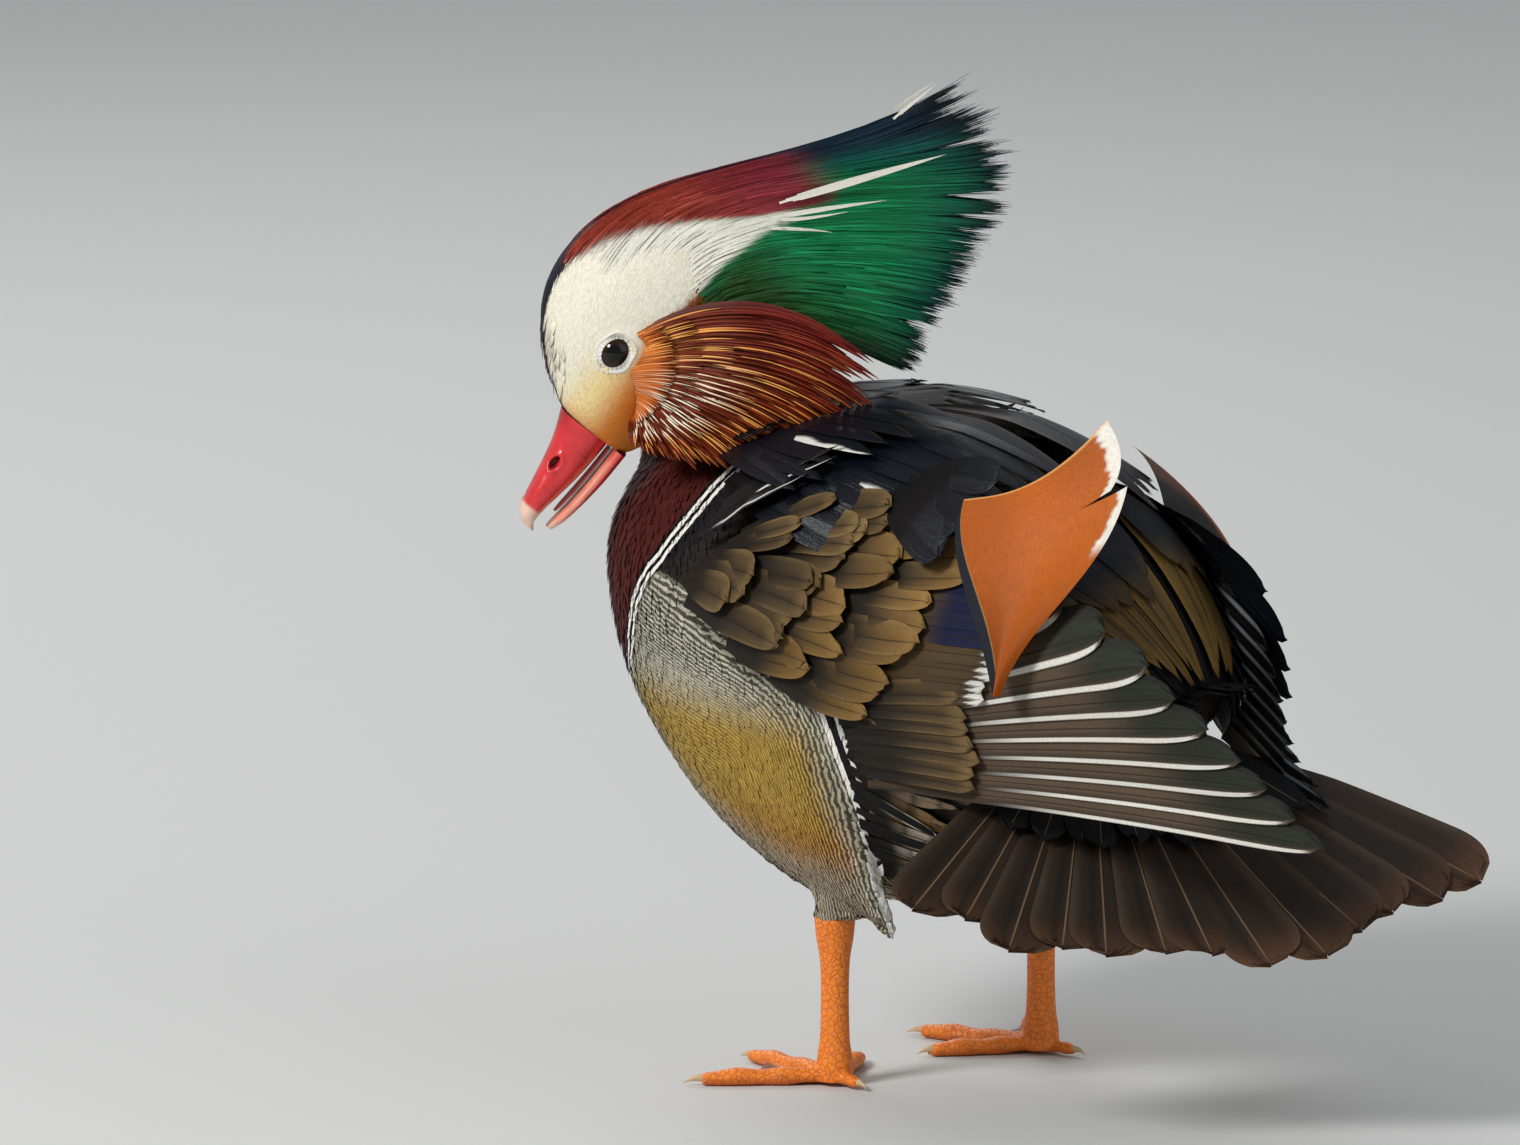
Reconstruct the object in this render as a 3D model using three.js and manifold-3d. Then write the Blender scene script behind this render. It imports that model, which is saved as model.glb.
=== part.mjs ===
import * as THREE from 'three';
import ManifoldModule from 'manifold-3d';

// Millimetres, Z up. The drake faces -X and its left side is -Y.
const gap = 0.3;
const cutGap = gap + 0.1;
const torsoPower = 2.25;
const headYaw = 35;
const headPitch = 52.4;
const eyeMid = [-70.4, -37.2, 181];
const eyeRadius = 4.9;
const eyeSpread = 12.8;
const billRoot = 20;
const legLeftAt = [-7, -32];
const legRightAt = [11.4, 32.4];
const tailRoot = [52, -5, 101];
const legTop = 42;
const ankleTop = 7;

const wasm = await ManifoldModule();
wasm.setup();
const { Manifold, Mesh: ManifoldMesh } = wasm;

const vec = (x, y, z) => new THREE.Vector3(x, y, z);
const mix = (a, b, t) => a + (b - a) * t;
const clamp = (v, lo, hi) => Math.min(hi, Math.max(lo, v));

let seed = 7;
function random() {
  seed = (seed * 16807) % 2147483647;
  return seed / 2147483647 - 0.5;
}

// A point on a straight, bent or twice bent line given by its end and pull points.
function bend(points, t) {
  let row = points.map((p) => p.slice());
  while (row.length > 1) {
    row = row.slice(1).map((p, i) => p.map((v, k) => mix(row[i][k], v, t)));
  }
  return row[0];
}

// Smooth run through rows of numbers.
function through(rows, t) {
  const last = rows.length - 1;
  const at = clamp(t, 0, 1) * last;
  const i = Math.min(Math.floor(at), last - 1);
  const f = at - i;
  const a = rows[Math.max(i - 1, 0)];
  const d = rows[Math.min(i + 2, last)];
  return rows[i].map((b, k) => {
    const c = rows[i + 1][k];
    const m0 = (c - a[k]) / 2;
    const m1 = (d[k] - b) / 2;
    const f2 = f * f;
    const f3 = f2 * f;
    return b * (2 * f3 - 3 * f2 + 1) + m0 * (f3 - 2 * f2 + f) + c * (3 * f2 - 2 * f3) + m1 * (f3 - f2);
  });
}

function solid(points, faces) {
  let volume = 0;
  for (const [a, b, c] of faces) {
    volume += points[a].dot(points[b].clone().cross(points[c]));
  }
  const turned = volume < 0 ? faces.map(([a, b, c]) => [a, c, b]) : faces;
  const vertProperties = new Float32Array(points.length * 3);
  points.forEach((p, i) => p.toArray(vertProperties, i * 3));
  const triVerts = new Uint32Array(turned.flat());
  return new Manifold(new ManifoldMesh({ numProp: 3, vertProperties, triVerts }));
}

// Rings joined in order and closed by a fan at both ends.
function tube(rings) {
  const n = rings[0].length;
  const points = rings.flat();
  const faces = [];
  for (let r = 0; r < rings.length - 1; r++) {
    for (let i = 0; i < n; i++) {
      const a = r * n + i;
      const b = r * n + ((i + 1) % n);
      faces.push([a, b, b + n], [a, b + n, a + n]);
    }
  }
  const ends = [rings[0], rings[rings.length - 1]];
  ends.forEach((ring, e) => {
    const start = e * (rings.length - 1) * n;
    const middle = ring.reduce((sum, p) => sum.add(p), vec(0, 0, 0)).divideScalar(n);
    points.push(middle);
    for (let i = 0; i < n; i++) {
      const a = start + i;
      const b = start + ((i + 1) % n);
      faces.push(e ? [a, b, points.length - 1] : [b, a, points.length - 1]);
    }
  });
  return solid(points, faces);
}

// Two equal grids of points joined at their rims, split alike on both faces.
function plate(top, bottom) {
  const rows = top.length;
  const cols = top[0].length;
  const points = [...top.flat(), ...bottom.flat()];
  const at = (r, c, s) => s * rows * cols + r * cols + c;
  const faces = [];
  for (let r = 0; r < rows - 1; r++) {
    for (let c = 0; c < cols - 1; c++) {
      faces.push([at(r, c, 0), at(r, c + 1, 0), at(r + 1, c + 1, 0)]);
      faces.push([at(r, c, 0), at(r + 1, c + 1, 0), at(r + 1, c, 0)]);
      faces.push([at(r, c, 1), at(r + 1, c + 1, 1), at(r, c + 1, 1)]);
      faces.push([at(r, c, 1), at(r + 1, c, 1), at(r + 1, c + 1, 1)]);
    }
  }
  const rim = [];
  for (let c = 0; c < cols - 1; c++) {
    rim.push([0, c]);
  }
  for (let r = 0; r < rows - 1; r++) {
    rim.push([r, cols - 1]);
  }
  for (let c = cols - 1; c > 0; c--) {
    rim.push([rows - 1, c]);
  }
  for (let r = rows - 1; r > 0; r--) {
    rim.push([r, 0]);
  }
  rim.forEach(([r, c], i) => {
    const [r2, c2] = rim[(i + 1) % rim.length];
    faces.push([at(r, c, 0), at(r, c, 1), at(r2, c2, 1)]);
    faces.push([at(r, c, 0), at(r2, c2, 1), at(r2, c2, 0)]);
  });
  return solid(points, faces);
}

function rounded(angle, power) {
  const c = Math.cos(angle);
  const s = Math.sin(angle);
  return [Math.sign(c) * Math.abs(c) ** (2 / power), Math.sign(s) * Math.abs(s) ** (2 / power)];
}

function ringOf(middle, up, side, count, power) {
  return Array.from({ length: count }, (_, i) => {
    const [c, s] = rounded((i / count) * Math.PI * 2, power);
    return middle.clone().addScaledVector(up, c).addScaledVector(side, s);
  });
}

function round(radius, across, along) {
  const rings = [];
  for (let r = 1; r < along; r++) {
    const a = (r / along) * Math.PI;
    const ring = vec(0, 0, -Math.cos(a) * radius);
    rings.push(ringOf(ring, vec(Math.sin(a) * radius, 0, 0), vec(0, Math.sin(a) * radius, 0), across, 2));
  }
  return tube(rings);
}

// Largest closed surface of a joined or cut shape.
function largest(shape) {
  return shape.decompose().reduce((a, b) => (b.volume() > a.volume() ? b : a));
}

function join(shapes) {
  return Manifold.union(shapes);
}

// A sheet between a root line and a tip line, laid on a surface given by place(p, q, lift).
function sheet(place, roots, tips, rows, cols, liftAt, thickAt) {
  const faces = [1, -1].map((sign) => {
    const grid = [];
    for (let r = 0; r <= rows; r++) {
      const row = [];
      for (let c = 0; c <= cols; c++) {
        const a = bend(roots, c / cols);
        const b = bend(tips, c / cols);
        const t = r / rows;
        row.push(place(mix(a[0], b[0], t), mix(a[1], b[1], t), liftAt(t) + (sign * thickAt(t)) / 2));
      }
      grid.push(row);
    }
    return grid;
  });
  return plate(faces[0], faces[1]);
}

// Outline of a lock: distance from root to tip and share of its half width.
const lockOutline = [[0, 0.75], [0.4, 1], [0.75, 0.6], [1, 0]];

// A lock along a path of end and pull points, laid on place(p, q, lift): flat below, with a
// ridge along its shaft. Its lean is the rise from edge to edge for each millimetre across,
// at root and tip.
function lock(place, path, { half, thick, lift, lean }) {
  const rings = lockOutline.map(([t, width]) => {
    const [p, q] = bend(path, t);
    const ahead = bend(path, t + 0.01);
    const run = Math.hypot(ahead[0] - p, ahead[1] - q);
    const wide = half * width;
    const tall = thick * (1 - 0.3 * t);
    return [-1, 0, 1].map((side) => {
      const rise = mix(lift[0], lift[1], t) + side * mix(lean[0], lean[1], t) * wide;
      const dp = (-(ahead[1] - q) / run) * wide * side;
      const dq = ((ahead[0] - p) / run) * wide * side;
      return place(p + dp, q + dq, rise + (side ? 0 : tall));
    });
  });
  const last = rings.length - 1;
  const points = [...rings.slice(0, last).flat(), rings[last][0]];
  const faces = [[0, 2, 1]];
  for (let r = 0; r < last; r++) {
    for (let i = 0; i < 3; i++) {
      const a = r * 3 + i;
      const b = r * 3 + ((i + 1) % 3);
      if (r === last - 1) {
        faces.push([a, b, points.length - 1]);
      } else {
        faces.push([a, b, b + 3], [a, b + 3, a + 3]);
      }
    }
  }
  return solid(points, faces);
}

// The lean that lets a lock slip over its neighbour, from the step between the two.
const steepest = 0.42;
function leanOver(thick, step) {
  return Math.min((thick * 0.4 + cutGap) / Math.max(step, 0.1), steepest);
}

// Locks spread evenly from line(0) to line(1), where line(v) is one lock's path.
function spread(place, line, count, options) {
  return Array.from({ length: count }, (_, i) => {
    const v = i / (count - 1);
    const path = line(v, random());
    const next = line(v + (i ? -1 : 1) / (count - 1), 0);
    const lean = [0, path.length - 1].map((k) => {
      const [a, b] = k ? [path[k - 1], path[k]] : [path[0], path[1]];
      const [dp, dq] = [b[0] - a[0], b[1] - a[1]];
      const step = (dp * (next[k][1] - path[k][1]) - dq * (next[k][0] - path[k][0])) / Math.hypot(dp, dq);
      return leanOver(options.thick, Math.abs(step));
    });
    return lock(place, path, { ...options, half: options.half * (1 + random() * 0.1), lean });
  });
}

// A line across a tier: the path of the feather at v between its end lines.
function crossLine(roots, tips, bow = 0) {
  return (v) => {
    const a = bend(roots, v);
    const b = bend(tips, v);
    return [a, [(a[0] + b[0]) / 2 - (b[1] - a[1]) * bow, (a[1] + b[1]) / 2 + (b[0] - a[0]) * bow], b];
  };
}

// A tier of vanes side by side in one body. One edge of each lies over the vane beside it,
// and its tip is free. side(i) is 1 where the next vane lies on top, -1 where it lies below.
function tier(place, line, count, { lift, thick = 0.5, point = 2.6, across = 2, side = () => 1 }) {
  const step = 0.6;
  const columns = [];
  const reachOf = ([a, , b]) => Math.hypot(b[0] - a[0], b[1] - a[1]);
  for (let i = 0; i < count; i++) {
    const length = reachOf(line((i + 0.5) / count)) * (1 + random() * 0.05);
    for (let k = 0; k <= across; k++) {
      const c = k / across;
      const path = line((i + 0.02 + 0.96 * c) / count);
      const own = (length - (c % 1 ? 0 : point)) / reachOf(path);
      const high = [1 - c, 1, c][1 - side(i)];
      columns.push({ path, own, high });
    }
  }
  const faces = [1, 0].map((upper) => [0, 0.5, 1].map((t, r) => {
    return columns.map(({ path, own, high }) => {
      const [p, q] = bend(path, t * own);
      const rise = upper * (thick + step * high * Math.min(1, 2 * t));
      return place(p, q, lift[r] + rise);
    });
  }));
  return plate(faces[0], faces[1]);
}

// Turns a surface point(p, q) into place(p, q, lift) that lifts along the surface normal.
function onSurface(point, outward) {
  return (p, q, lift) => {
    const at = point(p, q);
    const across = point(p + 1, q).sub(point(p - 1, q));
    const normal = across.cross(point(p, q + 1).sub(point(p, q - 1))).normalize();
    return at.addScaledVector(normal, normal.dot(outward) < 0 ? -lift : lift);
  };
}

const group = new THREE.Group();

function add(name, shape, colour, roughness, metalness = 0) {
  const whole = largest(shape);
  const mesh = whole.getMesh();
  const points = [];
  for (let i = 0; i < mesh.numVert; i++) {
    points.push(...mesh.vertProperties.slice(i * mesh.numProp, i * mesh.numProp + 3));
  }
  const geometry = new THREE.BufferGeometry();
  geometry.setAttribute('position', new THREE.Float32BufferAttribute(points, 3));
  geometry.setIndex(Array.from(mesh.triVerts));
  geometry.computeVertexNormals();
  const material = new THREE.MeshStandardMaterial({ color: colour, roughness, metalness });
  const node = new THREE.Mesh(geometry, material);
  node.name = name;
  group.add(node);
  return whole;
}

// Torso: each row is back point X Z, belly point X Z and half width.
const torsoRows = [
  [-52, 165, -80, 147, 26],
  [-42, 165, -86.8, 124, 37],
  [-29, 165, -78.5, 95, 45],
  [-13, 164, -62, 72, 50],
  [4, 163, -40, 53, 53],
  [23, 159, -16, 44, 54],
  [41, 152, 7, 43, 51],
  [57, 142, 28, 49, 44],
  [69, 130, 46, 60, 34],
  [78, 117, 60, 74, 25],
  [83, 106, 71, 86, 15],
];

function torsoRing(t, grow, count) {
  const [tx, tz, bx, bz, half] = through(torsoRows, t);
  const up = vec((tx - bx) / 2, 0, (tz - bz) / 2);
  const middle = vec((tx + bx) / 2, 0, (tz + bz) / 2);
  up.setLength(up.length() + grow);
  return ringOf(middle, up, vec(0, half + grow, 0), count, torsoPower);
}

function torsoCore(grow) {
  const rings = Array.from({ length: 16 }, (_, i) => torsoRing(i / 15, grow, 20));
  return tube(rings);
}

// Half width of the torso where a line along Y passes through X Z.
function torsoSide(x, z) {
  let before = null;
  for (let i = 0; i <= 60; i++) {
    const [tx, tz, bx, bz, half] = through(torsoRows, i / 60);
    const turn = (tx - bx) * (z - bz) - (tz - bz) * (x - bx);
    const along = ((x - bx) * (tx - bx) + (z - bz) * (tz - bz)) / ((tx - bx) ** 2 + (tz - bz) ** 2);
    const now = { turn, along, half };
    if (before && before.turn <= 0 && turn >= 0) {
      const f = before.turn / (before.turn - turn || 1);
      const h = Math.abs(2 * mix(before.along, along, f) - 1);
      return h >= 1 ? 0 : mix(before.half, half, f) * (1 - h ** torsoPower) ** (1 / torsoPower);
    }
    before = now;
  }
  return 0;
}

// Head frame: forward to the bill, up to the crown, side to the left.
const yaw = THREE.MathUtils.degToRad(headYaw);
const pitch = THREE.MathUtils.degToRad(headPitch);
const headForward = vec(-Math.cos(yaw) * Math.cos(pitch), -Math.sin(yaw) * Math.cos(pitch), -Math.sin(pitch));
const headSide = vec(Math.sin(yaw), -Math.cos(yaw), 0);
const headUp = vec(-Math.cos(yaw) * Math.sin(pitch), -Math.sin(yaw) * Math.sin(pitch), Math.cos(pitch));
const headAt = (f, s, u) =>
  vec(...eyeMid).addScaledVector(headForward, f).addScaledVector(headSide, s).addScaledVector(headUp, u);

// Rows along the head: forward, low, high, half width.
function headTube(rows, rings, count, power, grow) {
  const list = [];
  for (let i = 0; i < rings; i++) {
    const [f, low, high, half] = through(rows, i / (rings - 1));
    const middle = headAt(f, 0, (low + high) / 2);
    const up = headUp.clone().multiplyScalar((high - low) / 2 + grow);
    const side = headSide.clone().multiplyScalar(half + grow);
    list.push(ringOf(middle, up, side, count, power));
  }
  return tube(list);
}

const headRows = [
  [billRoot, -18, 2.5, 8.6],
  [15.5, -20.5, 10.5, 11.5],
  [9.5, -22, 17.5, 14.3],
  [2.5, -23, 22.8, 16.4],
  [-6.5, -23.5, 26, 18],
  [-16.5, -23.5, 26.4, 18.6],
  [-27, -21.5, 23.6, 17.6],
  [-37, -15.5, 17, 13.5],
  [-44, -8, 8, 7],
];

function headSkull(grow) {
  return headTube(headRows, 11, 18, 2.15, grow);
}

// Neck: from the sloping front face of the torso up into the skull, which cuts it.
const neckTop = headAt(-18, 0, -6);
const neckOut = vec(0.36, -0.4, 0.84).normalize();
const neckWide = vec(0.6, 0.8, 0).normalize();
const neckHalf = 15;

function neckTube(grow) {
  const rings = [];
  const first = torsoRing(0, 0, 20);
  const low = vec(-66, 0, 156);
  const capNormal = vec(-18, 0, 28).normalize();
  const capUp = vec(28, 0, 18).normalize();
  const endSide = neckWide.clone().addScaledVector(neckOut, -neckWide.dot(neckOut)).normalize();
  const endUp = endSide.clone().cross(neckOut).normalize();
  for (let i = 0; i <= 7; i++) {
    const t = i / 7;
    const start = low.clone().addScaledVector(capNormal, gap + t * 14);
    const end = neckTop.clone().addScaledVector(neckOut, -gap - (1 - t) * 12);
    const middle = start.lerp(end, t * t * (3 - 2 * t));
    const s = t * t * (3 - 2 * t);
    const up = capUp.clone().multiplyScalar(16.64).lerp(endUp.clone().multiplyScalar(neckHalf), s);
    const side = vec(0, 26, 0).lerp(endSide.clone().multiplyScalar(neckHalf), s);
    up.setLength(up.length() + grow);
    side.setLength(side.length() + grow);
    rings.push(i === 0 && grow === 0
      ? first.map((p) => p.clone().addScaledVector(capNormal, gap))
      : ringOf(middle, up, side, 20, mix(torsoPower, 2, s)));
  }
  return tube(rings);
}

// A point over the torso: t from breast to rump, h from belly to back, sign for the side.
function torsoSkin(t, h, sign, lift) {
  const [tx, tz, bx, bz, half] = through(torsoRows, t);
  const up = vec((tx - bx) / 2, 0, (tz - bz) / 2);
  const out = (1 - Math.abs(2 * h - 1) ** torsoPower) ** (1 / torsoPower);
  const at = vec((tx + bx) / 2, 0, (tz + bz) / 2).addScaledVector(up, 2 * h - 1);
  const wide = vec(0, sign * Math.max(out, 0.2), 0);
  const push = up.setLength(1).multiplyScalar(2 * h - 1).add(wide).normalize();
  at.y = sign * half * out;
  return at.addScaledVector(push, lift);
}

// Flank plumage: a raised shield over the side that ends in a free rear point.
const flankEnd = [14, 37, 38];
const flankUpper = [[0.5], [0.5], [0.52], [0.5], [0.4], [0.14]];
function flank(sign, grow) {
  const faces = [1, 0].map((outer) => {
    const grid = [];
    for (let r = 0; r <= 8; r++) {
      const t = mix(0.12, 0.66, r / 8);
      const row = [];
      for (let c = 0; c <= 4; c++) {
        const [upper] = through(flankUpper, r / 8);
        const h = mix(upper, 0.06, c / 4);
        const swell = 5.2 * Math.min(1, r / 3.3) * (1 - (1 - r / 10.7) * (c / 4) ** 1.5);
        const at = torsoSkin(t, h, sign, outer ? swell + grow : -3);
        const endWide = flankEnd[1] + (outer ? 1 : -2);
        const end = vec(flankEnd[0] - c / 2, sign * endWide, flankEnd[2] - c / 4);
        const pull = clamp((r - 3.3) / 4.7, 0, 1) ** 1.7 * 0.94;
        row.push(at.lerp(end, pull));
      }
      grid.push(row);
    }
    return grid;
  });
  return plate(faces[0], faces[1]);
}

// Barred feathers along the rear border of the flank, their tips just free of it.
const flankPlace = (sign) => (p, q, lift) => torsoSkin(p / 140, q / 110, sign, lift);
function flankVanes(sign) {
  const line = crossLine([[36, 46], [66, 48], [74, 30]], [[62, 64], [92, 62], [93, 24]], 0.1);
  return tier(flankPlace(sign), line, 6, { lift: [3.2, 5.6, 6.4], thick: 0.6 });
}
// The room those feathers take up, for the wings to stay clear of.
function flankRoom(sign) {
  const roots = [[24, 44], [60, 48], [72, 26]];
  const tips = [[64, 67], [96, 65], [97, 21]];
  return sheet(flankPlace(sign), roots, tips, 2, 4, () => 4.5, () => 9.6);
}

function thigh(at, grow) {
  return tube([[70, 13], [60, 11], [50, 8.5], [legTop + gap, 6.2]].map(([z, r]) => {
    const high = z - legTop;
    const middle = vec(at[0] + high * 0.25, at[1] * (1 - high * 0.004), z);
    return ringOf(middle, vec(r + grow, 0, 0), vec(0, r + grow, 0), 12, 2);
  }));
}

function torsoWhole(grow) {
  const sides = [-1, 1].map((sign) => flank(sign, grow));
  return join([torsoCore(grow), ...sides, thigh(legLeftAt, grow), thigh(legRightAt, grow)]);
}

const torsoWide = torsoWhole(cutGap);
const flankFeathers = [-1, 1].map(flankVanes);
const neck = neckTube(0);
const neckGrown = neckTube(cutGap);

function ball(at, radius, across, along) {
  return round(radius, across, along).translate(at.toArray());
}

const eyeAt = (sign) => headAt(-1.7, sign * eyeSpread, 1.4);

// Lids stand round each eye and leave an oval opening.
function opening(sign) {
  const rings = [-4, 9].map((s) => {
    const at = eyeAt(sign).addScaledVector(headSide, sign * s);
    return ringOf(at, headUp.clone().multiplyScalar(3.0), headForward.clone().multiplyScalar(3.8), 12, 2);
  });
  return tube(rings);
}

function skull(grow) {
  return join([headSkull(grow), ...[1, -1].map((sign) => ball(eyeAt(sign), 5.9 + grow, 12, 6))]);
}

const skullWide = skull(cutGap);
let head = skull(0);
for (const sign of [1, -1]) {
  head = head.subtract(ball(eyeAt(sign), eyeRadius + gap + 0.15, 12, 8)).subtract(opening(sign));
}

add('neck', neck.subtract(skullWide), 0x4a1620, 0.8);
add('head', head, 0xf2e6c8, 0.7);
add('eye_left', ball(eyeAt(1), eyeRadius, 14, 8), 0x140d0a, 0.1);
add('eye_right', ball(eyeAt(-1), eyeRadius, 14, 8), 0x140d0a, 0.1);

const upperRows = [
  [billRoot + gap, -12.5, 1.8, 7.4],
  [26, -12.3, -0.4, 7.1],
  [32, -11.8, -2, 6.9],
  [38, -10.9, -3.2, 7.1],
  [43, -10.2, -4.2, 6.6],
  [46.6, -10.6, -5.8, 4.6],
  [48.8, -12, -8.3, 1.8],
];
const lowerRows = [
  [billRoot + gap, -18, -14.4, 6.6],
  [28, -17.8, -14.4, 6],
  [36, -17, -14, 5.8],
  [42, -16, -13.4, 4.8],
  [45.7, -14.8, -13, 2.2],
];
// Nostrils: oval hollows high on the sides of the bill.
const nostrilAt = [31, -4.6];
function nostril(sign) {
  return tube([4.4, 9].map((s) => {
    const at = headAt(nostrilAt[0], sign * s, nostrilAt[1]);
    return ringOf(at, headUp.clone().multiplyScalar(0.9), headForward.clone().multiplyScalar(1.9), 10, 2);
  }));
}
const billUpper = headTube(upperRows, 9, 12, 2.6, 0);
add('bill_upper', billUpper.subtract(nostril(1)).subtract(nostril(-1)), 0xc4262a, 0.35);
add('bill_lower', headTube(lowerRows, 7, 12, 2.8, 0), 0xe09a8a, 0.4);
const tongueRows = [
  [billRoot + gap, -14.05, -12.9, 3.4],
  [30, -14, -12.75, 3.5],
  [38, -13.4, -12.2, 2.6],
  [41.5, -12.9, -12.1, 0.9],
];
add('tongue', headTube(tongueRows, 5, 10, 2, 0), 0xc9675c, 0.4);

// Crest: a standing fan on the middle plane of the head, thick at the skull and thin at its rim.
const crestTop = [[-13, 25], [-41, 26.5], [-59.5, -6], [-101, -23.5]];
const crestMid = [[-40, 4], [-58, -4], [-76, -30], [-92, -50]];
const crestLow = [[-30, -26], [-38, -36], [-38, -50], [-40, -61]];
const between = (families, v) => families[0].map((_, k) => through(families.map((f) => f[k]), v));
const crestPlace = (f, u, lift) => headAt(f, lift, u);

function crestCore(grow) {
  const faces = [1, -1].map((sign) => Array.from({ length: 4 }, (_, r) =>
    Array.from({ length: 8 }, (__, c) => {
      const [f, u] = bend(between([crestTop, crestMid, crestLow], c / 7), (r / 3) * 0.38);
      const root = mix(5, 12.5, Math.min(1, c / 3));
      return crestPlace(f, u, sign * (mix(root, 6.4, (r / 3) ** 0.8) + grow));
    })));
  return plate(faces[0], faces[1]);
}

// Layers of locks: side shift at root and tip, start and end along the fan, number.
const crestLock = 11.2;
function crestLocks() {
  const layers = [
    [0, 0, 0.35, 1, 11],
    [3, 2.2, 0.35, 0.96, 7],
    [-3, -2.2, 0.35, 0.96, 7],
    [5.6, 4.6, 0.35, 0.86, 6],
    [-5.6, -4.6, 0.35, 0.86, 6],
    [8.6, 7.6, 0.16, 0.66, 4],
    [-8.6, -7.6, 0.16, 0.66, 4],
  ];
  return layers.flatMap(([rootSide, tipSide, from, reach, count]) => {
    const line = (v, chance) => {
      const whole = between([crestTop, crestMid, crestLow], mix(0.5 / count, 1, v));
      const stop = reach * (1 + chance * 0.1);
      return [0, 1 / 3, 2 / 3, 1].map((t) => bend(whole, mix(from, Math.min(stop, 1.03), t)));
    };
    const half = crestLock / Math.sqrt(count);
    return spread(crestPlace, line, count, { half, thick: 1.2, lift: [rootSide, tipSide] });
  });
}
const crest = join([crestCore(0), ...crestLocks()]);
const crestWide = crestCore(cutGap);
add('crest', crest.subtract(skullWide).subtract(neckGrown), 0x1f6b4a, 0.6);

// Ruff: side plumes spread from behind the eye over the cheek. The right ones stand further
// out, clear of the neck.
const ruffRoots = [[-9, 0], [-8, -10], [2, -14], [9, -13]];
const ruffTips = [[-40, -46], [-36, -66], [6, -52], [14, -16]];
const ruffPath = (v) => crossLine(ruffRoots, ruffTips, -0.32 * (1 - v))(v);
const ruffPlace = (sign) => (f, u, lift) => headAt(f, sign * lift, u);
const ruffOut = (sign) => (sign > 0 ? 0 : 19);
function ruffSheet(sign, reach, cols, liftAt, thickAt) {
  const faces = [1, -1].map((face) => [0, 1, 2, 3].map((r) =>
    Array.from({ length: cols + 1 }, (_, c) => {
      const [f, u] = bend(ruffPath(c / cols), (r / 3) * reach);
      return ruffPlace(sign)(f, u, liftAt(r / 3) + (face * thickAt(r / 3)) / 2);
    })));
  return plate(faces[0], faces[1]);
}

function ruff(sign) {
  const out = ruffOut(sign);
  const core = ruffSheet(sign, 0.42, 6, (t) => mix(16.4, 18.2 + out * 0.42, t), (t) => mix(7.4, 4.4, t));
  const rows = [
    [13, 18.4 + out * 0.36, 20.5 + out, 0.36, 1],
    [10, 18.8, 23.6 + out * 0.84, 0.05, 0.84],
  ];
  return join([core, ...rows.flatMap(([count, low, high, from, reach]) => {
    const line = (v, chance) => {
      const stop = reach * (1 + chance * 0.08);
      return [0, 0.5, 1].map((t) => bend(ruffPath(v), mix(from, stop, t)));
    };
    return spread(ruffPlace(sign), line, count, { half: 34 / count, thick: 1, lift: [low, high] });
  })]);
}
// The room a ruff takes up, for what has to stay clear of it.
const ruffRoom = (sign) =>
  ruffSheet(sign, 1.08, 5, (t) => mix(17, 22.5 + ruffOut(sign), t), () => 9);
for (const [name, sign] of [['ruff_left', 1], ['ruff_right', -1]]) {
  const shape = ruff(sign).subtract(skullWide).subtract(crestWide).subtract(neckGrown).subtract(torsoWide);
  add(name, shape, 0xb5571f, 0.7);
}

// Wings lie on the sides of the torso; X Z on the side view, Y from the torso.
function wingSide(x, z) {
  const free = 58 + 0.03 * Math.max(0, x) - 0.067 * Math.max(0, z - 118) ** 1.6;
  return Math.max(torsoSide(x, z) + 3.2, free);
}
const leftPlace = onSurface((x, z) => vec(x, -wingSide(x, z), z), vec(0, -1, 0));

// Over the back: p follows the back line, q runs from it round to one side.
function backPoint(p, q, sign) {
  let t = 0;
  while (t < 1 && through(torsoRows, t)[0] < p) {
    t += 0.01;
  }
  const [tx, tz, bx, bz, half] = through(torsoRows, t);
  const up = vec((tx - bx) / 2, 0, (tz - bz) / 2);
  const [c, s] = rounded(q / 50, torsoPower);
  const at = vec((tx + bx) / 2, sign * half * s, (tz + bz) / 2).addScaledVector(up, c);
  return at.add(vec(p - tx, 0, 0));
}
const backPlace = (sign) => onSurface((p, q) => backPoint(p, q, sign), vec(0, sign * 0.4, 1));

// Rump feathers reach back from under the wings towards the tail.
function rumpVanes(sign) {
  const line = crossLine([[44, 46], [42, 3]], [[78, 46], [88, 26], [88, 3]]);
  return tier(backPlace(sign), line, 4, { lift: [-0.8, 1.8, 1.8] });
}

const armRoots = [[-37, 124], [-18, 114], [8, 98], [22, 83]];
const flight = { across: 3, point: 6 };
const arm = (place, rim) => sheet(place, armRoots, rim, 2, 3, () => 0.8, () => 1.4);
const shoulder = (sign) =>
  sheet(backPlace(sign), [[-42, 44], [-36, 10]], [[12, 46], [20, 8]], 2, 3, () => 2.1, () => 2.2);

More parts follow.
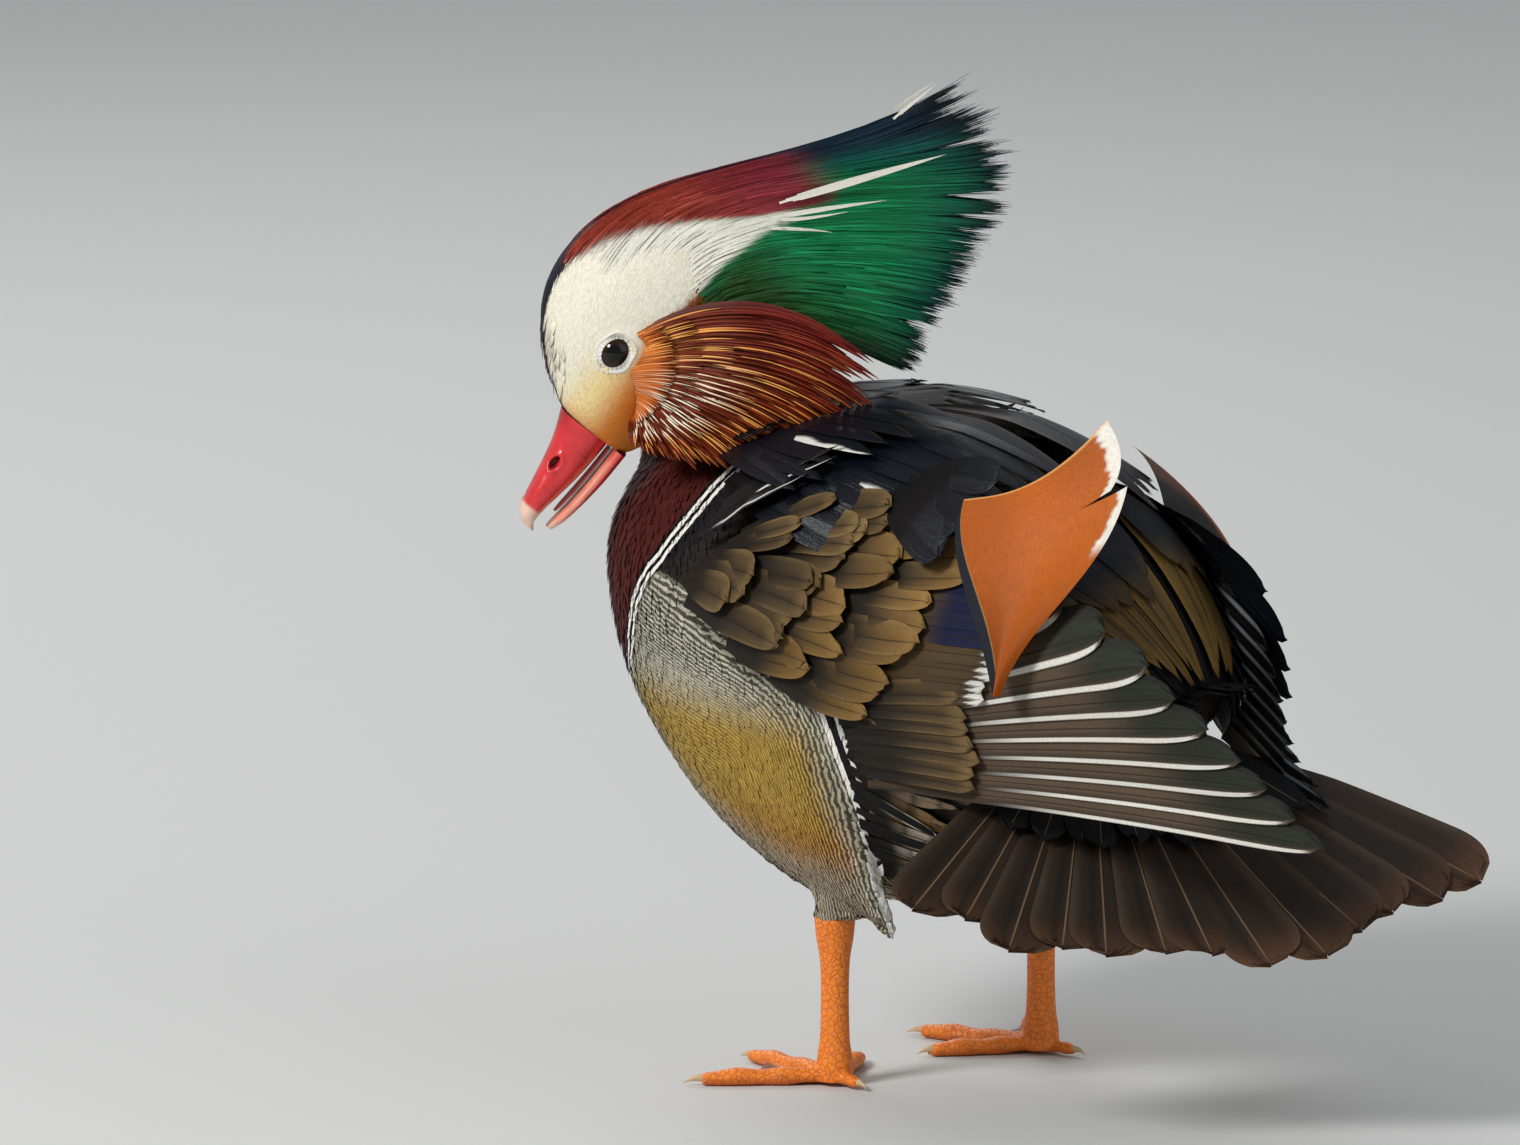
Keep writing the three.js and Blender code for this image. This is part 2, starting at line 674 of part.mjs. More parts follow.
// Tiers shared by both wings: lesser coverts over the front and scapulars over the back.
function frontTiers(place, sign) {
  const over = backPlace(sign);
  const lesser = [[[-32, 124], [-4, 150]], [[-8, 116], [6, 133], [28, 150]]];
  const least = [[[-36, 126], [-18, 150]], [[-22, 121], [-8, 138], [12, 153]]];
  const long = [[[-26, 50], [-18, 3]], [[30, 54], [46, 28], [56, 3]]];
  const short = [[[-40, 42], [-32, 6]], [[-4, 44], [10, 28], [18, 3]]];
  return [
    tier(place, crossLine(...lesser), 5, { lift: [0.3, 2.4, 4.2] }),
    tier(place, crossLine(...least), 4, { lift: [0.3, 2.6, 4.4] }),
    tier(over, crossLine(...long), 4, { lift: [2, 6, 6.6], point: 4 }),
    tier(over, crossLine(...short), 3, { lift: [2, 7.5, 8.4] }),
  ];
}

function wingLeft() {
  const place = leftPlace;
  const primaries = [[[22, 82], [20, 106]], [[167, 79.5], [137, 109], [72, 138]]];
  const secondaries = [[[22, 106], [32, 142]], [[66, 108], [72, 122], [66, 144]]];
  const primaryCoverts = [[[14, 88], [6, 106]], [[52, 84], [62, 96], [47, 111]]];
  const greater = [[[0, 108], [20, 142]], [[20, 102], [36, 121], [54, 144]]];
  const median = [[[-18, 118], [8, 147]], [[8, 112], [20, 129], [40, 145]]];
  return join([
    arm(place, [[-20, 150], [10, 148], [34, 126], [38, 90]]),
    shoulder(-1),
    tier(place, crossLine(...primaries, 0.03), 9, { ...flight, lift: [0.4, 0.6, 0.4] }),
    tier(place, crossLine(...secondaries), 6, { lift: [0.3, 2.4, 2.6] }),
    tier(place, crossLine(...primaryCoverts, 0.04), 4, { lift: [0.3, 2.4, 2.6] }),
    tier(place, crossLine(...greater), 6, { lift: [0.3, 2.4, 4.2] }),
    tier(place, crossLine(...median), 5, { lift: [0.3, 2.4, 4.2] }),
    ...frontTiers(place, -1),
  ]);
}

// Tail fan.
const tailAlong = vec(0.705, -0.483, -0.52).normalize();
const tailUp = vec(0.391, -0.349, 0.85).normalize();
const tailSide = tailUp.clone().cross(tailAlong).normalize();
const tailPlace = (a, l, lift) =>
  vec(...tailRoot)
    .addScaledVector(tailAlong, a)
    .addScaledVector(tailSide, l)
    .addScaledVector(tailUp, lift - 0.0008 * l * l);
const tailLift = [-0.4, -0.4, -0.4];
const tailCoverLift = [1, 2.6, 1.8];
const tailUnder = (a, l, lift) => tailPlace(a, l, -lift);
const fan = (radius, angle) => [radius * Math.cos(angle), radius * Math.sin(angle)];
function tailTier(place, count, width, from, reach, options) {
  const line = (v) => {
    const angle = width * (2 * v - 1);
    const far = reach(angle);
    return [fan(from, angle), fan((from + far) / 2, angle), fan(far, angle)];
  };
  const middle = (count - 1) / 2;
  return tier(place, line, count, { ...options, side: (i) => Math.sign(middle - i) });
}
const tailCore = [1, -1].map((sign) => Array.from({ length: 3 }, (_, r) =>
  Array.from({ length: 7 }, (__, c) => {
    const deep = mix(5, 2.4, r / 2) * Math.cos((c / 6 - 0.5) * 2);
    return tailPlace(...fan(mix(10, 40, r / 2), mix(-0.7, 0.7, c / 6)), sign * deep);
  })));
// The room the tail takes up, for the wings to stay clear of.
const tailRoom = plate(...[4.6, -3.6].map((lift) => [6, 112].map((radius) =>
  [-0.9, -0.3, 0.3, 0.9].map((angle) => tailPlace(...fan(radius, angle), lift)))));
const tail = join([
  plate(tailCore[0], tailCore[1]),
  tailTier(tailPlace, 13, 0.84, 34, (angle) => 101 + 9 * angle, { ...flight, lift: tailLift, thick: 0.6 }),
  tailTier(tailPlace, 7, 0.66, 14, () => 60, { lift: tailCoverLift }),
  tailTier(tailUnder, 7, 0.66, 14, () => 60, { lift: tailCoverLift }),
]);
add('tail', tail.subtract(torsoWide), 0x33241a, 0.8);

// Right wing is folded; its tips cross over the rump.
function foldSide(x, z) {
  const free = mix(54, -8, clamp((x - 12) / 110, 0, 1)) - 0.067 * Math.max(0, z - 122) ** 1.6;
  return Math.max(torsoSide(x, z) + 3.6, free);
}
const rightPlace = onSurface((x, z) => vec(x, foldSide(x, z), z), vec(0, 1, 0));
function wingRight() {
  const place = rightPlace;
  const primaries = [[[30, 108], [36, 134]], [[121, 72], [104, 86], [86, 108]]];
  const secondaries = [[[16, 100], [26, 134]], [[62, 88], [76, 100], [82, 116]]];
  const tertials = [[[28, 134], [32, 147]], [[94, 98], [92, 112], [82, 128]]];
  const greater = [[[-4, 104], [14, 138]], [[30, 88], [44, 106], [50, 128]]];
  const median = [[[-20, 118], [6, 146]], [[12, 100], [24, 118], [40, 140]]];
  return join([
    arm(place, [[-20, 150], [10, 148], [36, 130], [42, 100]]),
    shoulder(1),
    tier(place, crossLine(...primaries), 6, { ...flight, lift: [0.4, 0.6, 1.4] }),
    tier(place, crossLine(...secondaries), 5, { lift: [0.3, 3.6, 3.8] }),
    tier(place, crossLine(...tertials), 3, { ...flight, lift: [1, 5, 6] }),
    tier(place, crossLine(...greater), 4, { lift: [0.3, 3, 4.6] }),
    tier(place, crossLine(...median), 4, { lift: [0.3, 3, 4.6] }),
    ...frontTiers(place, 1),
  ]);
}

// Sails: one broad vane each, standing on the left and folded on the right.
const quill = (rows) => tube(rows.map(([at, r]) => ringOf(at, vec(0, r, 0), vec(0, 0, r), 6, 2)));
const sailQuill = [[26, -36, 150, 1], [38, -45, 155, 1.2], [48, -52.5, 156, 1], [54, -55, 150, 0.6]];
const sailPlace = (x, z, lift) => vec(x, -(52 + 0.02 * (x - 46) - 0.398 * (z - 157) + lift), z);
const sailShaft = [[46, 157], [45, 143], [62, 134], [68.5, 113]];
const sailRim = [[83.5, 179.5], [101, 166], [96, 144], [72, 133], [70, 112.5]];
const sailEdge = [[41, 155], [37, 141], [52, 131], [66, 112.5]];
// The inner web, from the shaft to the rim; its upper edge is hollowed like a fin.
const sailHollow = 6;
function sailWeb(rows, cols, liftAt, thick) {
  const faces = [1, -1].map((face) => Array.from({ length: rows + 1 }, (_, r) =>
    Array.from({ length: cols + 1 }, (__, c) => {
      const t = r / rows;
      const [a, b] = [sailShaft, sailRim].map((line) => bend(line, c / cols));
      const hollow = sailHollow * 4 * t * (1 - t) * (0.6 + 0.8 * t) * (1 - c / cols) ** 3;
      return sailPlace(mix(a[0], b[0], t), mix(a[1], b[1], t) - hollow, liftAt(t) + (face * thick) / 2);
    })));
  return plate(faces[0], faces[1]);
}
const sailNotch = [[87, 163.2], [104, 170], [104, 162]];
function sailLeft(grow) {
  const web = sailWeb(5, 8, (t) => 3 * Math.sin(t * 3), 1 + 2 * grow);
  const outer = sheet(sailPlace, sailShaft, sailEdge, 1, 6, () => 0, () => 0.9 + 2 * grow);
  const notch = tube([-6, 6].map((lift) => sailNotch.map(([x, z]) => sailPlace(x, z, lift))));
  const vane = join([web, outer]).subtract(notch);
  return join([vane, quill(sailQuill.map(([x, y, z, r]) => [vec(x, y, z), r + grow]))]);
}
// The room in front of the standing sail, for the wing to stay behind.
function sailRoom() {
  const web = sailWeb(5, 5, (t) => 3 * Math.sin(t * 3) + 3, 7);
  const outer = sheet(sailPlace, sailShaft, sailEdge, 1, 5, () => 3, () => 7);
  return join([web, outer]);
}
const foldShaft = [[34, 150], [54, 144], [75, 121]];
const foldRim = [[28, 126], [48, 116], [74, 118]];
function sailRight(grow) {
  const web = sheet(rightPlace, foldShaft, foldRim, 4, 6, () => 10, () => 1 + 2 * grow);
  const rows = [[20, 3], [30, 6], [38, 9]];
  return join([web, quill(rows.map(([x, lift]) => [rightPlace(x, 150, lift), 1 + grow]))]);
}
const rumpFeathers = [-1, 1].map(rumpVanes);
const leftClear = join([torsoWide, flankRoom(-1), sailLeft(cutGap), sailRoom(), ruffRoom(1)]);
const rightClear = join([torsoWide, tailRoom, flankRoom(1), sailRight(cutGap), ruffRoom(-1)]);
add('torso', join([torsoWhole(0), ...flankFeathers, ...rumpFeathers]), 0x8a7a4a, 0.8);
add('wing_left', wingLeft().subtract(leftClear), 0x4d3b26, 0.7);
add('wing_right', wingRight().subtract(rightClear), 0x2a2622, 0.7);
add('sail_left', sailLeft(0), 0xc8701e, 0.6);
add('sail_right', sailRight(0).subtract(torsoWide), 0xc8701e, 0.6);

// Legs stand on webbed feet; toe headings are degrees from +X.
function leg(at) {
  const rows = [
    [ankleTop, 4.2, 4.6],
    [12, 3.5, 3.9],
    [24, 3.2, 3.7],
    [32, 3.5, 4],
    [38, 4.6, 4.9],
    [legTop, 5, 5],
  ];
  const rings = Array.from({ length: 9 }, (_, i) => {
    const [z, across, along] = through(rows, i / 8);
    return ringOf(vec(at[0], at[1], z), vec(along, 0, 0), vec(0, across, 0), 12, 2);
  });
  return tube(rings);
}

function toe(at, heading, length, radius) {
  const a = THREE.MathUtils.degToRad(heading);
  const along = vec(Math.cos(a), Math.sin(a), 0);
  const side = vec(-along.y, along.x, 0);
  const rows = [
    [0, radius * 1.25, 3.2],
    [0.35, radius * 1.05, 2.2],
    [0.5, radius * 1.15, 2.3],
    [0.72, radius * 0.95, 2],
    [0.88, radius * 0.9, 1.8],
    [0.93, radius * 0.55, 1.7],
    [1.1, radius * 0.12, 0.5],
  ];
  const rings = rows.map(([t, r, z]) => {
    const middle = vec(at[0], at[1], z).addScaledVector(along, t * length);
    return ringOf(middle, vec(0, 0, r), side.clone().multiplyScalar(r), 6, 2);
  });
  return tube(rings);
}

function web(at, one, two, length) {
  const row = (heading, t) => {
    const a = THREE.MathUtils.degToRad(heading);
    return vec(at[0] + Math.cos(a) * length * t, at[1] + Math.sin(a) * length * t, 0);
  };
  const faces = [2.2, 1].map((z) => [0.05, 0.85].map((t, r) =>
    [0, 0.33, 0.67, 1].map((c) => {
      const cut = 1 - (r === 1 ? 0.22 * 4 * c * (1 - c) : 0);
      return row(mix(one, two, c), t * cut).setZ(z);
    })));
  return plate(faces[0], faces[1]);
}

function foot(at, headings, lengths) {
  const pad = tube([[-0.6, 4.6], [3, 5], [ankleTop - gap, 4.4]].map(([z, r]) =>
    ringOf(vec(at[0], at[1], z), vec(r, 0, 0), vec(0, r, 0), 10, 2)));
  const toes = headings.map((heading, i) => toe(at, heading, lengths[i], 2.5));
  const webs = [web(at, headings[0], headings[1], 34), web(at, headings[1], headings[2], 34)];
  const back = tube([[0, 5, 2], [6, 4.2, 1.7], [10, 3.2, 1.3], [14, 1.6, 0.4]].map(([d, z, r]) => {
    const a = THREE.MathUtils.degToRad(headings[1] + 180);
    const along = vec(Math.cos(a), Math.sin(a), 0);
    const middle = vec(at[0], at[1], z).addScaledVector(along, d);
    return ringOf(middle, vec(0, 0, r), vec(-along.y, along.x, 0).multiplyScalar(r), 6, 2);
  }));
  return join([pad, ...toes, ...webs, back]).trimByPlane([0, 0, 1], 0);
}
add('leg_left', leg(legLeftAt).subtract(torsoWide), 0xe0761c, 0.6);
add('leg_right', leg(legRightAt).subtract(torsoWide), 0xe0761c, 0.6);
add('foot_left', foot(legLeftAt, [218, 160, 112], [37, 40, 31]), 0xd8741f, 0.6);
add('foot_right', foot(legRightAt, [226, 180, 130], [31, 40, 37]), 0xd8741f, 0.6);

const box = new THREE.Box3().setFromObject(group);
const middle = box.getCenter(vec(0, 0, 0));
group.position.set(-middle.x, -middle.y, -box.min.z);

export default group;
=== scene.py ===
import math

import bpy
import numpy as np
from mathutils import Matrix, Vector
from mathutils.bvhtree import BVHTree


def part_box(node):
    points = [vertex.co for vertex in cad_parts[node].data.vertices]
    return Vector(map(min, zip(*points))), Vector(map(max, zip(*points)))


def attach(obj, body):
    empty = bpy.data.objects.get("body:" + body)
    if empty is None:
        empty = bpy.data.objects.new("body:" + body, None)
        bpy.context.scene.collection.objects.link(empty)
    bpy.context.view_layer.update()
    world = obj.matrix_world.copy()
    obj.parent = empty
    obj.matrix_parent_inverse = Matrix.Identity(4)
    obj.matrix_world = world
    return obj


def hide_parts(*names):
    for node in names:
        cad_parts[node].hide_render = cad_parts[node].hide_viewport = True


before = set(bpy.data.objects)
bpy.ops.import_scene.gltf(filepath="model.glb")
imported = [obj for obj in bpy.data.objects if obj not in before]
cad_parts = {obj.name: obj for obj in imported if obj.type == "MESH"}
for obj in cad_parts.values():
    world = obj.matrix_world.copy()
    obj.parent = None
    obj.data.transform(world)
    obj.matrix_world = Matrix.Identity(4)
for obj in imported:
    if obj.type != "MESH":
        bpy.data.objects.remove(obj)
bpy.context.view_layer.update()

chance = np.random.default_rng(17)


# screen colour 0-255 to the linear colour that shaders take
def tone(red, green, blue):
    share = np.array([red, green, blue]) / 255
    return np.where(share < 0.04045, share / 12.92, ((share + 0.055) / 1.055) ** 2.4)


def palette(**screen):
    return {name: tone(*shade) for name, shade in screen.items()}


# small maths on arrays
def mix(a, b, t):
    return a + (b - a) * t


def ease(low, high, x):
    s = np.clip((x - low) / (high - low), 0, 1)
    return s * s * (3 - 2 * s)


def unit(v):
    return v / np.maximum(np.linalg.norm(v, axis=-1, keepdims=True), 1e-9)


def dot(a, b):
    return (a * b).sum(-1)


# smooth run through rows of numbers, at t from 0 to 1
def through(rows, t):
    rows = np.asarray(rows, float)
    last = len(rows) - 1
    at = np.clip(t, 0, 1) * last
    i = np.minimum(np.floor(at).astype(int), last - 1)
    f = np.asarray(at - i)[..., None]
    a, b = rows[np.maximum(i - 1, 0)], rows[i]
    c, d = rows[i + 1], rows[np.minimum(i + 2, last)]
    m0 = (c - a) / 2
    m1 = (d - b) / 2
    f2, f3 = f * f, f * f * f
    return b * (2 * f3 - 3 * f2 + 1) + m0 * (f3 - 2 * f2 + f) + c * (3 * f2 - 2 * f3) + m1 * (f3 - f2)


# a point on a line given by its end and pull points
def bend(points, t):
    row = [np.asarray(p, float) for p in points]
    f = np.asarray(t, float)[..., None]
    while len(row) > 1:
        row = [a + (b - a) * f for a, b in zip(row, row[1:])]
    return row[0]


# even angles all the way round
def turns(count):
    return np.linspace(0, 2 * math.pi, count, endpoint=False)


# rows and columns of a net between two limits each
def net(rows, cols, down=(0, 1), across=(0, 1)):
    return np.meshgrid(np.linspace(*down, rows), np.linspace(*across, cols), indexing="ij")


def rounded(angle, power):
    c, s = np.cos(angle), np.sin(angle)
    return np.sign(c) * np.abs(c) ** (2 / power), np.sign(s) * np.abs(s) ** (2 / power)


# the drake's frame: millimetres, faces -X, left side -Y

torsoPower, skullPower = 2.25, 2.15   # 2 is an ellipse, more is squarer
yaw, pitch = math.radians(35), math.radians(52.4)
headMiddle = np.array([-70.4, -37.2, 181.0])
headLevel = np.array([-math.cos(yaw), -math.sin(yaw), 0.0])
headForward = headLevel * math.cos(pitch) - [0, 0, math.sin(pitch)]
headSide = np.array([math.sin(yaw), -math.cos(yaw), 0.0])
headUp = headLevel * math.sin(pitch) + [0, 0, math.cos(pitch)]


def headAt(forward, side, up):
    parts = [np.asarray(v, float)[..., None] for v in (forward, side, up)]
    return headMiddle + parts[0] * headForward + parts[1] * headSide + parts[2] * headUp


def headLocal(points):
    away = points - headMiddle
    return dot(away, headForward), dot(away, headSide), dot(away, headUp)


def eyeAt(sign):
    return headAt(-1.7, sign * 12.8, 1.4)


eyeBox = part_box("eye_left")
frameShift = np.array((eyeBox[0] + eyeBox[1]) / 2) * 1000 - eyeAt(1)

# back point X Z, belly point X Z and half width
torsoRows = [
    [-52, 165, -80, 147, 26],
    [-42, 165, -86.8, 124, 37],
    [-29, 165, -78.5, 95, 45],
    [-13, 164, -62, 72, 50],
    [4, 163, -40, 53, 53],
    [23, 159, -16, 44, 54],
    [41, 152, 7, 43, 51],
    [57, 142, 28, 49, 44],
    [69, 130, 46, 60, 34],
    [78, 117, 60, 74, 25],
    [83, 106, 71, 86, 15],
]
# forward, low, high, half width
headRows = [
    [20, -18, 2.5, 8.6],
    [15.5, -20.5, 10.5, 11.5],
    [9.5, -22, 17.5, 14.3],
    [2.5, -23, 22.8, 16.4],
    [-6.5, -23.5, 26, 18],
    [-16.5, -23.5, 26.4, 18.6],
    [-27, -21.5, 23.6, 17.6],
    [-37, -15.5, 17, 13.5],
    [-44, -8, 8, 7],
]


# where a line along Y through X Z meets the torso: t from breast to rump, h from belly to back
def torsoParam(x, z):
    x, z = np.broadcast_arrays(np.asarray(x, float), np.asarray(z, float))
    steps = 60
    found = np.full(x.shape, np.nan)
    high = np.full(x.shape, 0.5)
    before = None
    for i in range(steps + 1):
        topX, topZ, lowX, lowZ, _ = through(torsoRows, np.array(i / steps))
        overX, overZ = topX - lowX, topZ - lowZ
        turn = overX * (z - lowZ) - overZ * (x - lowX)
        along = ((x - lowX) * overX + (z - lowZ) * overZ) / (overX ** 2 + overZ ** 2)
        if before is not None:
            crossing = np.isnan(found) & (before[0] <= 0) & (turn >= 0)
            f = before[0] / np.where(np.abs(before[0] - turn) < 1e-9, 1e-9, before[0] - turn)
            found = np.where(crossing, (i - 1 + f) / steps, found)
            high = np.where(crossing, mix(before[1], along, f), high)
        else:
            ahead = turn > 0
            high = np.where(ahead, along, high)
        before = (turn, along)
    behind = np.isnan(found) & ~ahead
    found = np.where(ahead & np.isnan(found), 0, found)
    found = np.where(behind, 1, found)
    high = np.where(behind, along, high)
    return found, high


def torsoBulge(h):
    return np.clip(1 - np.abs(2 * h - 1) ** torsoPower, 0, 1) ** (1 / torsoPower)


# middle of the torso at rows of torsoRows, and the way from there up to the back
def torsoMiddle(row):
    back, belly = row[..., 0:2], row[..., 2:4]
    middle = np.insert((back + belly) / 2, 1, 0, axis=-1)
    return middle, np.insert((back - belly) / 2, 1, 0, axis=-1)


def torsoSide(x, z):
    t, h = torsoParam(x, z)
    half = through(torsoRows, t)[..., 4]
    return half * np.where((t <= 0) | (t >= 1), 0, torsoBulge(h))


def torsoSkin(t, h, sign, lift):
    row = through(torsoRows, t)
    middle, up = torsoMiddle(row)
    out = torsoBulge(h)
    at = middle + up * (2 * h - 1)[..., None]
    at[..., 1] = sign * row[..., 4] * out
    push = unit(up) * (2 * h - 1)[..., None]
    push[..., 1] += sign * np.maximum(out, 0.2)
    return at + unit(push) * np.asarray(lift)[..., None]


# one mesh object on the frame, with its tint, other numbers and maps
def addPiece(name, points, faces, finish, slot, replaced=(), tint=None, floats=None, maps=None):
    mesh = bpy.data.meshes.new(name)
    place = (points.reshape(-1, 3) + frameShift) * 0.001
    faces = np.asarray(faces, np.int32)
    mesh.vertices.add(len(place))
    mesh.vertices.foreach_set("co", place.astype(np.float32).ravel())
    mesh.loops.add(faces.size)
    mesh.loops.foreach_set("vertex_index", faces.ravel())
    mesh.polygons.add(len(faces))
    mesh.polygons.foreach_set("loop_start", np.arange(0, faces.size, faces.shape[1], dtype=np.int32))
    mesh.update(calc_edges=True)
    mesh.shade_smooth()
    for key, values in (maps or {}).items():
        layer = mesh.uv_layers.new(name=key)
        layer.data.foreach_set("uv", values.reshape(-1, 2)[faces.ravel()].astype(np.float32).ravel())
    for key, values in (floats or {}).items():
        layer = mesh.attributes.new(key, "FLOAT", "POINT")
        layer.data.foreach_set("value", values.astype(np.float32).ravel())
    if tint is not None:
        full = np.ones((len(place), 4), np.float32)
        full[:, :3] = tint.reshape(-1, 3)
        layer = mesh.attributes.new("tint", "FLOAT_COLOR", "POINT")
        layer.data.foreach_set("color", full.ravel())
    mesh.materials.append(finish)
    piece = bpy.data.objects.new(name, mesh)
    bpy.context.scene.collection.objects.link(piece)
    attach(piece, "root")
    if replaced:
        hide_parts(*replaced)
    print("made", name, len(place), "points", len(faces), "faces")


# faces of a grid of rows and columns, repeated for a number of grids
def gridFaces(rows, cols, count=1, closed=False):
    r, c = np.meshgrid(np.arange(rows - 1), np.arange(cols if closed else cols - 1), indexing="ij")
    a = r * cols + c
    b = r * cols + (c + 1) % cols
    one = np.stack([a, b, b + cols, a + cols], -1).reshape(-1, 4)
    return (np.arange(count)[:, None, None] * rows * cols + one[None]).reshape(-1, 4)


def halves(quads):
    return [quads[:, [0, 1, 2]], quads[:, [0, 2, 3]]]


# rings in order, closed by a fan at both ends, as triangles
def tubeParts(rings):
    rings = np.asarray(rings, float)
    count, around = rings.shape[:2]
    ends = np.stack([rings[0].mean(0), rings[-1].mean(0)])
    points = np.concatenate([rings.reshape(-1, 3), ends])
    tris = halves(gridFaces(count, around, closed=True))
    i = np.arange(around)
    j = (i + 1) % around
    first = count * around
    tris.append(np.stack([j, i, np.full(around, first)], -1))
    tris.append(np.stack([i + first - around, j + first - around, np.full(around, first + 1)], -1))
    return points, np.concatenate(tris)


# two sheets and the rim between them, as triangles
def plateParts(top, bottom):
    rows, cols = top.shape[:2]
    size = rows * cols
    points = np.concatenate([top.reshape(-1, 3), bottom.reshape(-1, 3)])
    quads = gridFaces(rows, cols)
    tris = halves(quads)
    tris += [quads[:, [0, 2, 1]] + size, quads[:, [0, 3, 2]] + size]
    rim = [(0, c) for c in range(cols - 1)] + [(r, cols - 1) for r in range(rows - 1)]
    rim += [(rows - 1, c) for c in range(cols - 1, 0, -1)] + [(r, 0) for r in range(rows - 1, 0, -1)]
    a = np.array([r * cols + c for r, c in rim])
    b = np.roll(a, -1)
    tris += [np.stack([a, a + size, b + size], -1), np.stack([a, b + size, b], -1)]
    return points, np.concatenate(tris)


# one smooth surface round closed parts that run into each other
def fuse(parts, voxel, rounds):
    points, tris, start = [], [], 0
    for p, t in parts:
        points.append(p)
        tris.append(t + start)
        start += len(p)
    mesh = bpy.data.meshes.new("fusing")
    mesh.from_pydata(np.concatenate(points).tolist(), [], np.concatenate(tris).tolist())
    body = bpy.data.objects.new("fusing", mesh)
    bpy.context.scene.collection.objects.link(body)
    remesh = body.modifiers.new("remesh", "REMESH")
    remesh.mode = "VOXEL"
    remesh.voxel_size = voxel
    smooth = body.modifiers.new("smooth", "SMOOTH")
    smooth.factor = 0.5
    smooth.iterations = rounds
    done = body.evaluated_get(bpy.context.evaluated_depsgraph_get())
    fused = bpy.data.meshes.new_from_object(done)
    at, out = np.zeros((2, len(fused.vertices) * 3))
    fused.vertices.foreach_get("co", at)
    fused.vertices.foreach_get("normal", out)
    quads = np.array([p.vertices[:] for p in fused.polygons if len(p.vertices) == 4])
    bpy.data.objects.remove(body)
    return at.reshape(-1, 3), out.reshape(-1, 3), quads


# an output of a node that can stand in a sum
class Wire:
    def __init__(self, finish, socket):
        self.finish = finish
        self.socket = socket

    def calc(self, operation, *values):
        return self.finish.node("Math", {"operation": operation}, dict(enumerate(values)))

    def __add__(self, other):
        return self.calc("ADD", self, other)

    def __sub__(self, other):
        return self.calc("SUBTRACT", self, other)

    def __mul__(self, other):
        return self.calc("MULTIPLY", self, other)

    def __truediv__(self, other):
        return self.calc("DIVIDE", self, other)

    def __rsub__(self, other):
        return self.calc("SUBTRACT", other, self)

    def sine(self):
        return self.calc("SINE", self)

    def size(self):
        return self.calc("ABSOLUTE", self)

    def clear(self, low, high):
        limits = {"From Min": low, "From Max": high, "Value": self}
        return self.finish.node("MapRange", {"interpolation_type": "SMOOTHSTEP"}, limits)

    __radd__ = __add__
    __rmul__ = __mul__


# a material while its nodes are laid
class Finish:
    def __init__(self, name):
        self.material = bpy.data.materials.new(name)
        self.material.use_nodes = True
        self.tree = self.material.node_tree
        self.tree.nodes.clear()

    def node(self, kind, settings=None, sockets=None, output=0):
        made = self.tree.nodes.new("ShaderNode" + kind)
        for key, value in (settings or {}).items():
            if key == "stops":
                stops = made.color_ramp.elements
                while len(stops) < len(value):
                    stops.new(0.5)
                for stop, (position, colour) in zip(stops, value):
                    stop.position = position
                    stop.color = (*colour, 1)
                made.color_ramp.interpolation = "CONSTANT"
            else:
                setattr(made, key, value)
        for key, value in (sockets or {}).items():
            if isinstance(value, Wire):
                self.tree.links.new(value.socket, made.inputs[key])
            else:
                made.inputs[key].default_value = value
        return Wire(self, made.outputs[output]) if made.outputs else None

    def place(self):
        return self.node("TexCoord", None, None, 3)

    def number(self, name):
        return self.node("Attribute", {"attribute_name": name}, None, 2)

    def colour(self, name):
        return self.node("Attribute", {"attribute_name": name})

    def blend(self, a, b, amount):
        a, b = [side if isinstance(side, Wire) else (*side, 1) for side in (a, b)]
        return self.node("Mix", {"data_type": "RGBA"}, {0: amount, 6: a, 7: b}, 2)

    def scaled(self, colour, amount):
        return self.node("VectorMath", {"operation": "SCALE"}, {0: colour, "Scale": amount})

    def noise(self, where, scale, detail=2.0):
        return self.node("TexNoise", None, {"Vector": where, "Scale": scale, "Detail": detail})

    def bump(self, height, strength, distance=0.001):
        return self.node("Bump", None, {"Height": height, "Strength": strength, "Distance": distance})

    def close(self, sockets, fixed=None):
        shader = self.node("BsdfPrincipled", None, {**sockets, **(fixed or {})})
        self.node("OutputMaterial", None, {"Surface": shader})
        return self.material


# small feathers of the body: fine wavy lines, bars and stripes over the tint
plumageLook = palette(dark=(34, 28, 20), black=(13, 12, 15), white=(238, 234, 224))


